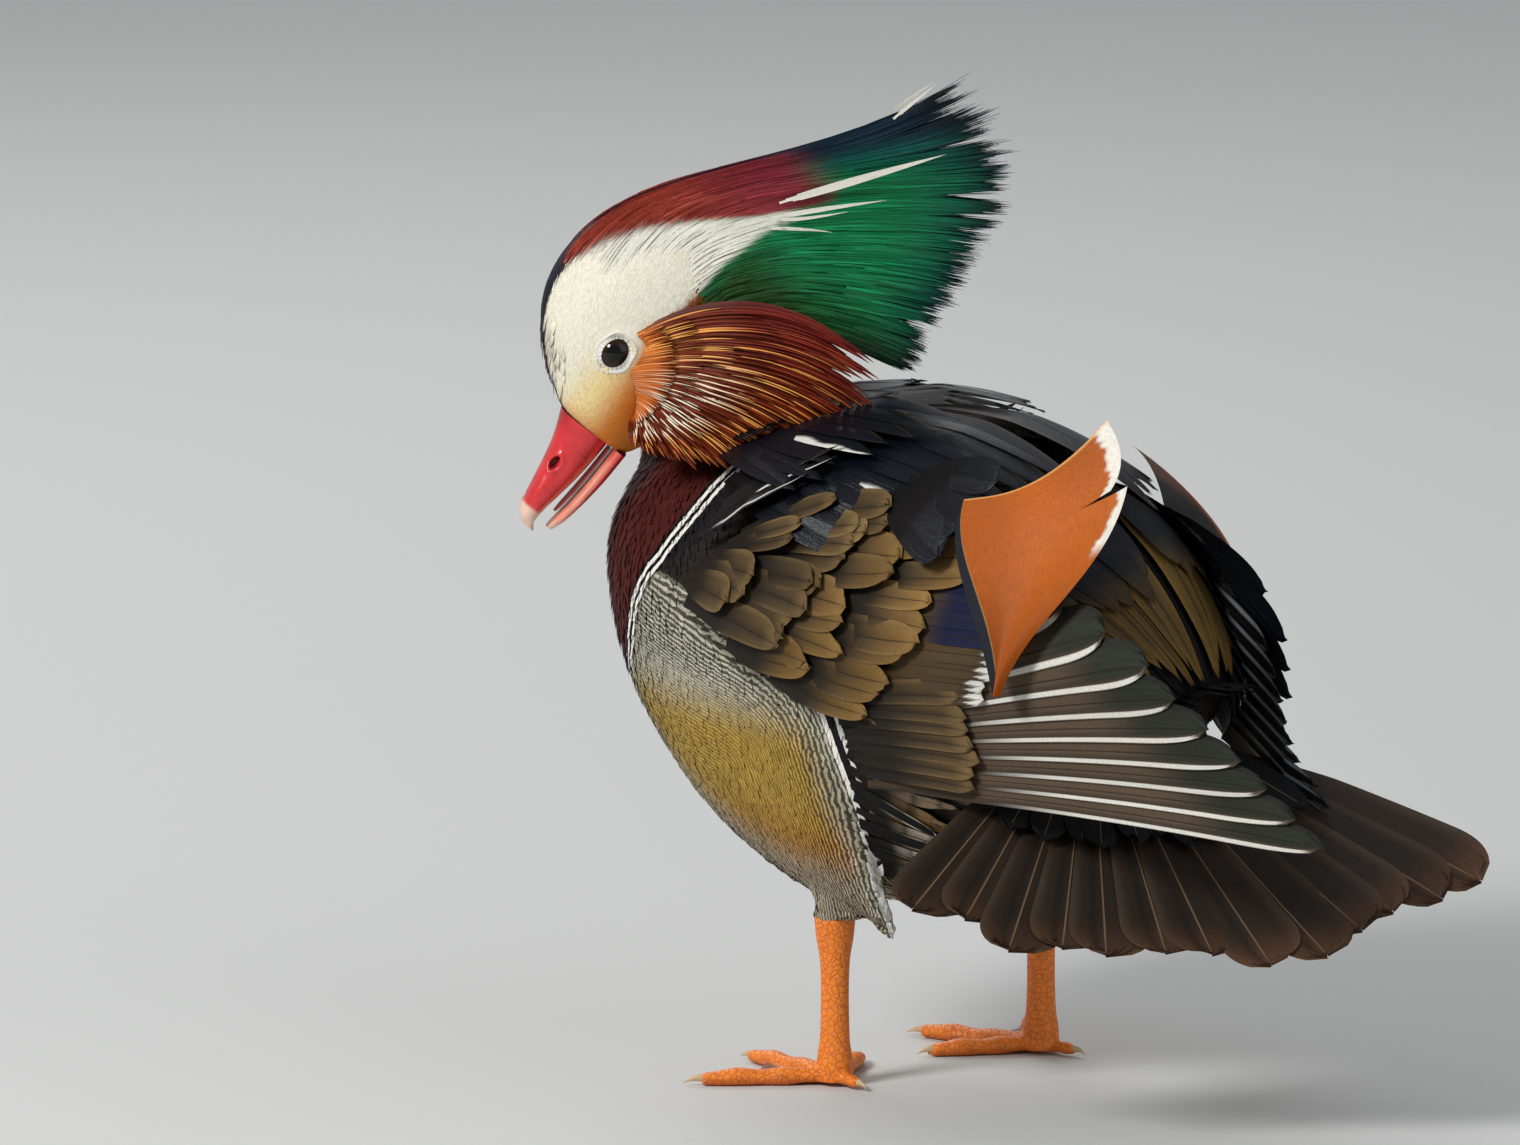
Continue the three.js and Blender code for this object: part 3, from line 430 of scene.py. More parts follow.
def bodyPlumage(name):
    f = Finish(name)
    tint = f.colour("tint")
    phase, run = f.number("phase"), f.number("run")
    place = f.node("CombineXYZ", None, {0: run * 0.55, 1: phase * 0.45})
    wander = f.noise(place, 1.0, 1.5)
    wave = ((phase + wander * 1.15) * (2 * math.pi)).sine()
    lines = wave.clear(-0.5, 0.25) * f.number("fine")
    dark = f.blend(tint, plumageLook["dark"], 0.86)
    worn = f.blend(tint, dark, lines)
    edge, stripe = f.number("edge"), f.number("stripe")
    black, white = plumageLook["black"], plumageLook["white"]
    bars = [(0.0, black), (0.54, white), (0.655, black), (0.855, white)]
    rear = f.node("ValToRGB", {"stops": bars}, {"Fac": (edge + 10) / 11})
    made = f.blend(worn, rear, f.number("barred") * edge.clear(0.95, 0.8) * edge.clear(-9.5, -8.8))
    rows = [(0.0, black), (0.09, white), (0.2, black), (0.3, white), (0.4, black)]
    front = f.node("ValToRGB", {"stops": rows}, {"Fac": (stripe + 1.5) / 10})
    made = f.blend(made, front, f.number("striped") * stripe.clear(-1.5, -1.4))
    barbs = f.noise(f.place(), 2600.0, 3.0)
    made = f.scaled(made, barbs * 0.5 + 0.75)
    fixed = {"Roughness": 0.62, "Specular IOR Level": 0.2}
    return f.close({"Base Color": made, "Normal": f.bump(barbs, 0.3, 0.0003)}, fixed)


# velvet of the head, hair of the crest and other coats that only carry a tint
def plainPlumage(name, roughness, grain, sheen=0.0):
    f = Finish(name)
    barbs = f.noise(f.place(), grain, 3.0)
    made = f.scaled(f.colour("tint"), barbs * 0.4 + 0.8)
    fixed = {"Roughness": roughness, "Sheen Weight": sheen, "Specular IOR Level": 0.25}
    return f.close({"Base Color": made, "Normal": f.bump(barbs, 0.3, 0.0003)}, fixed)


barbPitch = 0.42   # millimetres from barb to barb


# a vane: barbs slant from the shaft to both edges
def vaneFinish(name, shaft, shaftWidth, roughness, depth=0.35, centre=0.5, specular=0.18):
    f = Finish(name)
    where = f.node("UVMap", {"uv_map": "vane"})
    split = f.node("SeparateXYZ", None, {0: where})
    along = f.node("SeparateXYZ", None, {0: where}, 1)
    off = (split - centre).size()
    noise = f.noise(where, 14.0, 4.0)
    lines = ((along * 100 - off * 7 + noise * 0.9) * (2 * math.pi / barbPitch)).sine()
    streaks = f.noise(f.node("CombineXYZ", None, {0: off * 14, 1: (along * 100 - off * 7) * 1.1}), 1.0, 2.0)
    rib = 1 - off.clear(shaftWidth * 0.6, shaftWidth)
    tint = f.scaled(f.colour("tint"), lines * 0.11 + noise * 0.24 + streaks * 0.6 + 0.6)
    made = f.blend(tint, shaft, rib * 0.75)
    height = lines * 0.35 + rib * 2.2 + streaks * 1.5
    sockets = {"Base Color": made, "Normal": f.bump(height, depth, 0.00022)}
    return f.close(sockets, {"Roughness": roughness, "Specular IOR Level": specular})


# skin of torso, neck and head

skinLook = {"voxel": 1.15, "rounds": 10, "torsoDepth": 1.1, "headDepth": 0.7}
legPlaces = {"left": (-7, -32), "right": (11.4, 32.4)}
sides = {"left": 1, "right": -1}   # sign along headSide


def torsoRings(count, around):
    row = through(torsoRows, np.linspace(0, 1, count))
    c, s = rounded(turns(around)[None], torsoPower)
    middle, up = torsoMiddle(row)
    rings = middle[:, None] + up[:, None] * c[..., None]
    rings[..., 1] = row[:, 4:5] * s
    return rings


# the loose feathers of the flank, as an outer and an inner sheet
def flankShield(sign):
    r, c = net(41, 21, (0, 8), (0, 4))
    upper = through([[0.5], [0.5], [0.52], [0.5], [0.4], [0.14]], r / 8)[..., 0]
    t = mix(0.12, 0.66, r / 8)
    h = mix(upper, 0.06, c / 4)
    pull = (np.clip((r - 3.3) / 4.7, 0, 1) ** 1.7 * 0.94)[..., None]
    swell = 5.2 * np.minimum(1, r / 3.3) * (1 - (1 - r / 10.7) * (c / 4) ** 1.5)
    sheets = []
    for lift, away in ((swell, 38), (-3 + 0 * r, 35)):
        end = np.stack([14 - c / 2, sign * away + 0 * c, 38 - c / 4], -1)
        sheets.append(mix(torsoSkin(t, h, sign, lift), end, pull))
    return sheets


def skullRings(rows, count, around, power):
    row = through(rows, np.linspace(0, 1, count))
    c, s = rounded(turns(around)[None], power)
    up = (row[:, 1:2] + row[:, 2:3]) / 2 + (row[:, 2:3] - row[:, 1:2]) / 2 * c
    return headAt(row[:, :1] + 0 * c, row[:, 3:4] * s, up)


def neckRings():
    outward = unit(np.array([0.36, -0.4, 0.84]))
    wide = np.array([0.6, 0.8, 0])
    endSide = unit(wide - outward * dot(wide, outward))
    endUp = np.cross(endSide, outward)
    capNormal, capUp = unit(np.array([-18.0, 0, 28])), unit(np.array([28.0, 0, 18]))
    rings = []
    for t in np.linspace(0, 1, 15):
        s = ease(0, 1, t)
        start = np.array([-66.0, 0, 156]) + capNormal * (t * 14 - 4)
        end = headAt(-18, 0, -6) - outward * (1 - t) * 12
        up = mix(capUp * 16.6, endUp * 15, s)
        side = mix(np.array([0, 26.0, 0]), endSide * 15, s)
        c, w = rounded(turns(48), mix(torsoPower, 2, s))
        rings.append(mix(start, end, s) + c[:, None] * up + w[:, None] * side)
    return rings


def thighRings(x, y):
    c, s = rounded(turns(28), 2)
    rings = []
    for z, r in ((72, 13), (62, 11.6), (52, 9), (45, 6.9), (41, 5.6)):
        lean = z - 42
        rings.append(np.stack([r * c + (x + lean * 0.25), r * s + y * (1 - lean * 0.004), 0 * c + z], -1))
    return rings


# a ball for the swelling round an eye
def ballRings(centre, radius):
    c, s = rounded(turns(32), 2)
    rings = []
    for lean in np.linspace(0.15, math.pi - 0.15, 16):
        ring = np.stack([np.sin(lean) * c, np.sin(lean) * s, 0 * c - np.cos(lean)], -1)
        rings.append(centre + radius * ring)
    return rings


skull = skullRings(headRows, 40, 64, skullPower)
parts = [tubeParts(torsoRings(60, 72)), tubeParts(neckRings()), tubeParts(skull)]
for sign in (-1, 1):
    parts.append(plateParts(*flankShield(sign)[::sign]))
    parts.append(tubeParts(ballRings(eyeAt(sign), 5.7)))
for x, y in legPlaces.values():
    parts.append(tubeParts(thighRings(x, y)))
skinAt, skinOut, skinQuads = fuse(parts, skinLook["voxel"], skinLook["rounds"])
print("skin fused", len(skinAt))


# 1 on the head, 0 on the body
def onHead(points):
    f, s, u = headLocal(points)
    row = through(headRows, np.clip((20 - f) / 64, 0, 1))
    middle = 2 * (u - row[:, 1]) / (row[:, 2] - row[:, 1]) - 1
    reach = np.abs(middle) ** skullPower + np.abs(s / row[:, 3]) ** skullPower
    return ease(1.7, 1.25, reach) * ease(-47, -43, f)


# where each marking lies

# lines in the side view: X Z on the body, forward and up on the head
flankEdge = [[-50, 127], [-30, 120], [-10, 112], [2.7, 100.2], [8.4, 85], [11.8, 70], [13.4, 57], [14.2, 44],
             [13, 34]]
breastEdge = [[-60, 78], [-65, 90], [-65.5, 101], [-62.6, 108], [-59.2, 120.7], [-52.4, 132.3],
              [-43.9, 143.6], [-39.7, 150.6], [-34, 159], [-28, 168]]
browAbove = [[24, 4], [19.6, 2.1], [15.2, 11], [7.4, 19.2], [0.2, 22.6], [-8.5, 24.2], [-20.7, 20.9],
             [-29.9, 15.3], [-40.8, 4.9], [-50.5, -6.6], [-63.8, -18.4]]
browBelow = [[-8, -1.6], [-11, -3.4], [-17, -4.7], [-22.5, -5.7], [-35.7, -6.4], [-48.3, -9.9], [-53.3, -13]]
bodyColours = palette(
    breast=(70, 20, 12), breastDark=(30, 12, 14), black=(10, 9, 12), flankPale=(180, 176, 156),
    flankGold=(178, 144, 62), flankBrown=(182, 118, 40), belly=(228, 220, 200), rump=(30, 25, 22),
    down=(150, 122, 78), crown=(150, 58, 42), crownFront=(14, 20, 36), face=(234, 229, 208),
    cream=(238, 214, 150), cheek=(208, 118, 36), cheekDeep=(168, 74, 20), nape=(34, 60, 22),
    neck=(58, 22, 18),
)


# how far points in the side view lie to the right of a line, and how far along it
def besideLine(line, points, share=60000):
    drawn = through(line, np.linspace(0, 1, 90))
    run = np.concatenate([[0], np.cumsum(np.linalg.norm(np.diff(drawn, axis=0), axis=1))])
    step = unit(np.gradient(drawn, axis=0))
    off, along = np.empty(len(points)), np.empty(len(points))
    for start in range(0, len(points), share):
        some = points[start:start + share]
        away = some[:, None] - drawn[None]
        i = np.linalg.norm(away, axis=2).argmin(1)
        nearest = away[np.arange(len(some)), i]
        off[start:start + share] = step[i, 1] * nearest[:, 0] - step[i, 0] * nearest[:, 1]
        along[start:start + share] = run[i]
    return off, along


# height of a brow line at a place forward on the head
def heightAt(line, along):
    rows = np.array(sorted(line))
    return np.interp(along, rows[:, 0], rows[:, 1])


def layered(tint, colour, amount):
    return mix(tint, np.asarray(colour), np.asarray(amount)[:, None])


def headTint(points):
    f, s, u = headLocal(points)
    k = bodyColours
    tint = np.tile(k["face"], (len(points), 1))
    tint = layered(tint, k["cream"], ease(9, -2, u) * ease(-6, 6, f))
    tint = layered(tint, k["cheek"], ease(0.5, -9, u + 0.12 * (f - 3)) * ease(-10, -6, f + 0.6 * (u + 6)))
    tint = layered(tint, k["cheek"], 0.5 * ease(6, 0, u) * ease(14, 20, f))
    tint = layered(tint, k["cheekDeep"], ease(-6, -14, u) * ease(14, 4, f))
    overBrow = u - heightAt(browBelow, f)
    tint = layered(tint, k["cheekDeep"], ease(1.2, -1.2, overBrow) * ease(-8, -11, f))
    tint = layered(tint, k["nape"], ease(-19, -23, f) * ease(1.0, -1.0, overBrow))
    capHalf = np.interp(f, [-20, -8, 0, 20], [9.5, 8, 6.4, 4.6])
    onTop = ease(0.5, -0.5, np.abs(s) - capHalf) * (u > -2)
    crown = np.maximum(ease(-0.9, 0.9, u - heightAt(browAbove, f)), onTop)
    tint = layered(tint, k["crown"], crown)
    front = crown * np.maximum(ease(3.4, 2, np.abs(s)), ease(-24, -6, f))
    return layered(tint, k["crownFront"], front)


# tint of skin and coat, and the numbers that the shader draws lines, bars and stripes with
def markings(points):
    k = bodyColours
    x, y, z = points.T
    wide = np.abs(y)
    t, h = torsoParam(x, z)
    edge, run = besideLine(flankEdge, points[:, [0, 2]])
    stripe, _ = besideLine(breastEdge, points[:, [0, 2]])
    outer = ease(14, 24, wide) * ease(0.99, 0.9, h)
    front = ease(34, 20, wide) * ease(92, 104, z) * ease(-20, -34, x)
    behind = ease(0.2, 0.8, stripe) * (1 - front)
    flank = behind * ease(-0.9, -0.5, edge) * outer
    belly = ease(32, 12, wide) * ease(0.5, 0.36, h) * ease(98, 76, z + 0.25 * wide)
    tint = np.tile(k["rump"], (len(points), 1))
    tint = layered(tint, k["down"], ease(88, 74, z) * ease(18, 26, x) * 0.9)
    tint = layered(tint, k["belly"], belly)
    golden = ease(104, 86, z - 0.15 * edge) * ease(1, 11, edge)
    gold = layered(np.tile(k["flankPale"], (len(points), 1)), k["flankGold"], golden)
    gold = layered(gold, k["flankBrown"], ease(80, 52, z) * ease(-1, 8, edge))
    gold = layered(gold, k["flankPale"], ease(0.2, 0.08, h) * 0.8)
    tint = mix(tint, gold, (flank * (1 - belly * 0.8))[:, None])
    dark = layered(np.tile(k["breast"], (len(points), 1)), k["breastDark"], ease(34, 12, wide) * 0.7)
    tint = mix(tint, dark, ((1 - behind) * (1 - belly))[:, None])
    stripesEnd = 3.4 + 9 * ease(128, 146, z)
    striped = ease(-4, -3, stripe) * ease(0.3, -0.3, stripe - stripesEnd)
    striped = striped * ease(22, 30, wide) * ease(84, 100, z)
    neck = ease(158, 166, z + 0.3 * (-50 - x)) * ease(-38, -44, x)
    back = ease(0.75, 0.85, h) * ease(0.05, 0.12, t)
    tint = layered(tint, k["black"], back)
    tint = layered(tint, k["neck"], neck)
    tint = layered(tint, k["black"], neck * ease(-54, -46, x - 0.4 * y))
    head = onHead(points)
    tint = mix(tint, headTint(points), head[:, None])
    rear = ease(22, 4, edge)
    upper = ease(98, 112, z - 0.2 * edge)
    lineGap = mix(1.45, 1.0, ease(4, 24, edge))
    clear = np.clip(0.6 + 0.4 * rear + 0.4 * upper + 0.3 * ease(75, 50, z), 0, 1)
    fine = flank * (1 - head) * (1 - striped * ease(-1.5, -1.2, stripe)) * clear
    barred = outer * behind * ease(4, 2, edge) * ease(-14, -11, edge) * ease(50, 58, run)
    return tint, {
        "phase": edge / lineGap, "run": run, "fine": fine, "edge": edge,
        "barred": barred * (1 - head), "stripe": stripe, "striped": striped * (1 - head),
    }


# place on an unwrap of the skin's own shape: along and round the torso, or along and round the head
def skinMap(points):
    x, y, z = points.T
    t, h = torsoParam(x, z)
    half = np.maximum(through(torsoRows, t)[:, 4], 4)
    f, s, u = headLocal(points)
    torso = np.stack([0.02 + 0.56 * t, 0.5 + 0.48 * np.arctan2(y / half, 2 * h - 1) / math.pi], -1)
    along = 0.98 - 0.34 * np.clip((f + 48) / 70, 0, 1)
    head = np.stack([along, 0.5 + 0.48 * np.arctan2(s, u + 1) / math.pi], -1)
    return np.where((onHead(points) > 0.5)[:, None], head, torso)


# the skin lies a little under the coat, with a hollow for each eye
def drawIn(points, normals):
    head = onHead(points)
    depth = mix(skinLook["torsoDepth"], skinLook["headDepth"], head)
    drawn = points - normals * depth[:, None]
    for sign in (1, -1):
        f, s, u = headLocal(drawn - (eyeAt(sign) - headMiddle))
        near = np.sqrt((f / 4.5) ** 2 + (u / 3.8) ** 2)
        hollow = np.where(sign * s > 0, 3.8 * np.sqrt(np.clip(1 - near ** 2, 0, 1)), 0)
        drawn = drawn - (sign * hollow)[:, None] * headSide
    return drawn


skinDrawn = drawIn(skinAt, skinOut)
bodyFinish = bodyPlumage("body plumage")
addPiece("skin", skinDrawn, skinQuads, bodyFinish, "body_plumage", ["torso", "neck", "head"],
         *markings(skinDrawn), {"OFBake": skinMap(skinDrawn)})
ground = BVHTree.FromPolygons(skinDrawn.tolist(), skinQuads.tolist())


def onGround(points):
    at, out = np.empty_like(points), np.empty_like(points)
    for i, p in enumerate(points):
        place, normal, _, _ = ground.find_nearest(p)
        at[i] = place
        out[i] = normal
    return at, out


# points spread evenly over the skin, one in each cell
def scatter(spacing, keep):
    corners = skinDrawn[skinQuads]
    sides = np.cross(corners[:, 2] - corners[:, 0], corners[:, 3] - corners[:, 1])
    area = np.linalg.norm(sides, axis=1) / 2
    middles = corners.mean(1)
    area = area * keep(middles)
    count = int(area.sum() / spacing ** 2 * 5)
    face = chance.choice(len(area), count, p=area / area.sum())
    a, b = chance.random((2, count, 1))
    q = corners[face]
    at = mix(mix(q[:, 0], q[:, 1], a), mix(q[:, 3], q[:, 2], a), b)
    cell = np.floor(at / spacing).astype(np.int64)
    key = cell[:, 0] * 73856093 + cell[:, 1] * 19349663 + cell[:, 2] * 83492791
    _, first = np.unique(key, return_index=True)
    return at[first], unit(sides[face[first]])


# tufts or small feathers that start at roots and follow the ground
def growTufts(roots, normals, lies, length, width, stand, rows, cols, shape, sink=0.25, cup=0.12):
    lies = unit(lies - normals * dot(lies, normals)[:, None])
    ahead = roots + lies * length[:, None]
    tips, tipOut = onGround(ahead)
    tipOut = unit(np.where((dot(tipOut, normals) > 0.2)[:, None], tipOut, normals))
    s = np.linspace(0, 1, rows)[None, :, None]
    start = (lies * length[:, None])[:, None]
    endLie = unit(lies - tipOut * dot(lies, tipOut)[:, None]) * length[:, None]
    end = endLie[:, None]
    a, b = roots[:, None], tips[:, None]
    s2, s3 = s * s, s * s * s
    line = a * (2 * s3 - 3 * s2 + 1) + start * (s3 - 2 * s2 + s) + b * (3 * s2 - 2 * s3) + end * (s3 - s2)
    out = unit(mix(normals[:, None], tipOut[:, None], s))
    forward = unit(mix(start, end, s))
    across = unit(np.cross(out, forward))
    rise = -sink + (stand[:, None, None] + sink) * s ** 0.8
    c = np.linspace(-1, 1, cols)[None, None, :, None]
    wide = (width[:, None] * shape(s[:, :, 0]))[..., None, None]
    at = line[:, :, None] + out[:, :, None] * rise[:, :, None] + across[:, :, None] * wide * c
    return at - out[:, :, None] * wide * (c * c) * cup


# each tuft lies on a small patch of the bake map, round a spot of its own
def patchMap(spots, rows, cols, half=0.0015):
    patch = np.stack(net(rows, cols, (-half, half), (-half, half)), -1)
    return {"OFBake": spots[:, None, None] + patch[None]}


def roundTip(s):
    tip = np.sqrt(np.clip(1 - np.clip((s - 0.45) / 0.56, 0, 1) ** 2, 0, 1))
    return tip * (0.45 + 0.55 * ease(0, 0.4, s))


def hairTip(s):
    return (1 - s ** 1.6) * 0.9 + 0.1


# one brightness for each tuft, repeated for its points
def varied(count, amount, points):
    return np.repeat(1 + chance.normal(0, amount, count), points)[:, None]


def torsoLie(points):
    x, y, z = points.T
    t, h = torsoParam(x, z)
    breast = np.array([0.42, 0, -1.0])
    back = np.array([1.0, 0, -0.32])
    lie = mix(breast, back, ease(0.04, 0.42, t)[:, None])
    lie = mix(lie, np.array([1.0, 0, -0.1]), (ease(0.3, 0.12, h) * ease(0.15, 0.4, t))[:, None])
    goal = np.stack([14 + 0 * x, np.sign(y) * 37, 36 + 0 * x], -1)
    toward = unit(goal - points)
    flank = ease(0.2, 0.3, t) * ease(14, 26, np.abs(y)) * ease(8, -4, x - 0.4 * (z - 60)) * ease(0.62, 0.5, h)
    lie = mix(unit(lie), toward, (0.75 * flank)[:, None])
    lie[:, 1] += np.sign(y) * 0.12 * ease(0.7, 0.9, h)
    neck = ease(150, 160, z + 0.3 * (-50 - x)) * ease(-38, -46, x)
    return mix(lie, np.array([0.1, 0.3, -1.0]), neck[:, None])


def headLie(points):
    f, s, u = headLocal(points)
    away = np.stack([f - 27, s, u + 5], -1)
    local = unit(away)
    return local[:, :1] * headForward + local[:, 1:2] * headSide + local[:, 2:] * headUp


# share of the torso's coat that is kept at points
def torsoKeep(points):
    x, _, z = points.T
    t, h = torsoParam(x, z)
    underWing = ease(0.36, 0.44, t) * ease(0.5, 0.56, h) * ease(0.93, 0.88, h) * ease(0.86, 0.8, t)
    return (1 - onHead(points)) * (1 - 0.85 * underWing) * (z > 42)


def headKeep(points):
    keep = onHead(points) > 0.5
    f, _, u = headLocal(points)
    for sign in (1, -1):
        ahead, side, over = headLocal(points - (eyeAt(sign) - headMiddle))
        keep &= ~((sign * side > 0) & ((ahead / 5.6) ** 2 + (over / 4.8) ** 2 < 1))
    hidden = (f < -40) | ((f < -14) & (u < -14))
    return keep & (f < 19.6) & ~hidden


torsoCoat = {"spacing": 1.75, "length": 6.2, "width": 1.25, "stand": 0.55, "rows": 5, "cols": 3}
headCoat = {"spacing": 0.62, "length": 2.8, "width": 0.34, "stand": 0.06, "rows": 4, "cols": 2}


def growTorsoCoat(look):
    roots, normals = scatter(look["spacing"], torsoKeep)
    x, y, z = roots.T
    t, h = torsoParam(x, z)
    size = 0.75 + 0.5 * ease(0.15, 0.6, t) + 0.25 * ease(0.75, 0.9, h)
    size = size * (0.85 + 0.3 * chance.random(len(roots)))
    flankHere = ease(0.22, 0.3, t) * ease(0.5, 0.4, h)
    stand = look["stand"] * (0.5 + chance.random(len(roots))) * (1 - 0.5 * flankHere)
    lies = unit(torsoLie(roots)) + chance.normal(0, 0.09, roots.shape)
    rows, cols = look["rows"], look["cols"]
    feathers = growTufts(roots, normals, lies, look["length"] * size, look["width"] * size, stand,
                         rows, cols, roundTip)
    for side, chosen in (("left", y < 0), ("right", ~(y < 0))):
        some = feathers[chosen]
        maps = patchMap(skinMap(roots[chosen]), rows, cols)
        tint, floats = markings(some.reshape(-1, 3))
        addPiece("coat_" + side, some, gridFaces(rows, cols, len(some)), bodyFinish, "body_plumage", (),
                 tint * varied(len(some), 0.09, rows * cols), floats, maps)


def growHeadCoat(look):
    finish = plainPlumage("face plumage", 0.7, 3200.0, 0.05)
    roots, normals = scatter(look["spacing"], headKeep)
    f, _, u = headLocal(roots)
    nape = ease(-18, -24, f) * ease(2, -2, u - heightAt(browBelow, f))
    size = (0.7 + 0.6 * ease(14, -10, f) + 1.6 * nape) * (0.8 + 0.4 * chance.random(len(roots)))
    lies = unit(headLie(roots)) + chance.normal(0, 0.12, roots.shape)
    stand = look["stand"] * (0.4 + 1.2 * chance.random(len(roots)))
    rows, cols = look["rows"], look["cols"]
    velvet = growTufts(roots, normals, lies, look["length"] * size, look["width"] * size, stand,
                       rows, cols, hairTip, 0.15, 0)
    tint = np.repeat(headTint(roots), rows * cols, axis=0)
    addPiece("face_coat", velvet, gridFaces(rows, cols, len(velvet)), finish, "face_plumage", (),
             tint * varied(len(velvet), 0.05, rows * cols), None, patchMap(skinMap(roots), rows, cols))


growTorsoCoat(torsoCoat)
growHeadCoat(headCoat)
print("coat grown")


# how far the skull's side stands out at a place forward and up
def skullSide(f, u):
    forward = [row[0] for row in headRows[::-1]]
    row = through(headRows, np.interp(f, forward, np.linspace(1, 0, len(forward))))
    off = np.abs(2 * (u - row[..., 1]) / (row[..., 2] - row[..., 1]) - 1)
    return row[..., 3] * np.clip(1 - off ** skullPower, 0, 1) ** (1 / skullPower)


# crest

crestTop = [[-13, 25], [-41, 26.5], [-59.5, -6], [-101, -23.5]]
crestMid = [[-40, 4], [-58, -4], [-76, -30], [-92, -50]]
crestLow = [[-30, -26], [-38, -36], [-38, -50], [-40, -61]]
crestLook = {"strands": 13600, "rows": 8, "width": 0.3, "clumps": 74, "ragged": 0.075}
crestColours = palette(
    maroon=(156, 58, 42), plum=(136, 44, 54), blue=(10, 34, 52), teal=(8, 82, 76), green=(10, 132, 74),
    olive=(34, 70, 20), tip=(8, 14, 15), white=(234, 231, 216),
)
# white feathers that run out of the brow into the crest: forward and up, then width and count
streaks = [
    ([[-56, -8], [-75, -22], [-91, -34.5]], 1.2, 24),
    ([[-52, -8.7], [-62, -18], [-73, -29.5]], 0.55, 12),
    ([[-53, -11], [-58, -17], [-65, -23.5]], 0.4, 8),
    ([[-50, -10.5], [-55, -17], [-58.5, -23.5]], 0.35, 7),
    ([[-90, -18.5], [-96, -20], [-103, -22]], 0.5, 9),
]


# forward and up of strands: v runs from the top of the fan to its low edge, t from root to tip
def crestPath(v, t):
    pulls = [through([family[k] for family in (crestTop, crestMid, crestLow)], v) for k in range(4)]
    return bend(pulls, t)


# half width of the crest, from the skull to its tip
def crestHalf(v, t):
    root = mix(4.5, 14.5, np.minimum(1, v * 2.2))
    first = mix(root, 11.0, ease(0, 0.25, t))
    return mix(first, 1.8, ease(0.2, 1.0, t) ** 0.9) * mix(0.35, 1, ease(0, 0.3, v))


def crestTint(v, t, f, s, u):
    k = crestColours
    tint = np.tile(k["green"], (len(v), 1))
    tint = layered(tint, k["teal"], ease(0.5, 0.25, v) * 0.85)
    tint = layered(tint, k["teal"] * 0.7, ease(0.55, 0.9, t) * 0.7)
    tint = layered(tint, k["olive"], ease(-52, -34, f) * ease(-2, -12, u))
    tint = layered(tint, k["tip"], ease(0.86, 1.0, v) * ease(0.3, 0.7, t) * 0.7)
    above = ease(-1.2, 1.2, u - heightAt(browAbove, f))
    red = above * ease(-71, -62, f)
    tint = layered(tint, k["blue"], ease(0.3, 0.12, v) * ease(-52, -62, f) * 0.9)
    tint = layered(tint, mix(k["maroon"], k["plum"], ease(-36, -60, f)[:, None]), red)
    tint = layered(tint, k["blue"], ease(2.6, 1.4, np.abs(s)) * 0.85)
    ragged = f + chance.normal(0, 2.4, len(f))
    white = (1 - above) * ease(-1, 1, u - heightAt(browBelow, f)) * ease(-61, -54, ragged)
    tint = layered(tint, k["white"], white)
    return layered(tint, k["tip"], ease(0.86, 1.04, t) * 0.8 * (1 - white))


def ribbons(centre, outward, width):
    along = unit(np.gradient(centre, axis=1))
    across = unit(np.cross(along, outward))
    return np.stack([centre - across * width, centre + across * width], 2)


def crestStrands(look):
    count, rows = look["strands"], look["rows"]
    along = np.linspace(0, 1, rows)
    v = chance.random(count)
    centres = np.sort(chance.random(look["clumps"]))
    nearest = np.abs(v[:, None] - centres[None]).argmin(1)
    sign = np.where(chance.random(count) < 0.5, 1, -1)[:, None]
    depth = 1 - 0.9 * chance.random(count) ** 2.4
    early = 0.04 + 0.26 * ease(0.5, 0.72, v) + 0.16 * ease(0.12, 0.3, v) * ease(0.66, 0.5, v)
    start = -early + (0.66 + early) * chance.random(count) ** 1.05
    span = mix(0.24, 0.46, chance.random(count))
    clumpReach = 1 + look["ragged"] * (chance.random(look["clumps"]) - 0.35)
    reach = clumpReach[nearest] + chance.normal(0, 0.022, count)
    stop = np.minimum(start + span, reach)
    stop = np.where(stop > 0.76, mix(stop, reach, chance.random(count) ** 0.5), stop)
    t = start[:, None] + (stop - start)[:, None] * along[None]
    gathered = v[:, None] + (centres[nearest] - v)[:, None] * 0.7 * ease(0.62, 1.0, t)
    gathered = gathered + chance.normal(0, 0.006, (count, 1)) * t
    flatV, flatT = gathered.ravel(), t.ravel()
    forward, up = crestPath(flatV, flatT).T
    half = crestHalf(flatV, flatT).reshape(count, rows)
    onSkull = (skullSide(forward, up) + 0.2).reshape(count, rows)
    half = np.maximum(half, mix(onSkull, half, ease(0.0, 0.3, t)))
    lift = 0.1 + 0.5 * chance.random((count, 1)) * along ** 1.5 * ease(0.1, 0.5, t)
    rooted = 0.9 * ease(0.35, 0, along) * ease(0.3, 0.05, t)
    side = sign * (depth[:, None] * half + lift - rooted)
    centre = headAt(forward.reshape(count, rows), side, up.reshape(count, rows))
    width = look["width"] * (0.6 + 0.8 * chance.random((count, 1, 1))) * hairTip(along)[None, :, None]
    tint = crestTint(flatV, flatT, forward, side.ravel(), up).reshape(count, rows, 3)
    pale = ease(0.3, 0.6, tint[..., :1])
    outward = headSide * sign[..., None] + chance.normal(0, 0.25, (count, 1, 3)) * (1 - 0.8 * pale)
    tint = tint * np.exp(chance.normal(-0.05, 0.26, (count, 1, 1)) * (1 - pale)) * (1 + 0.06 * pale)
    return ribbons(centre, outward, width), tint


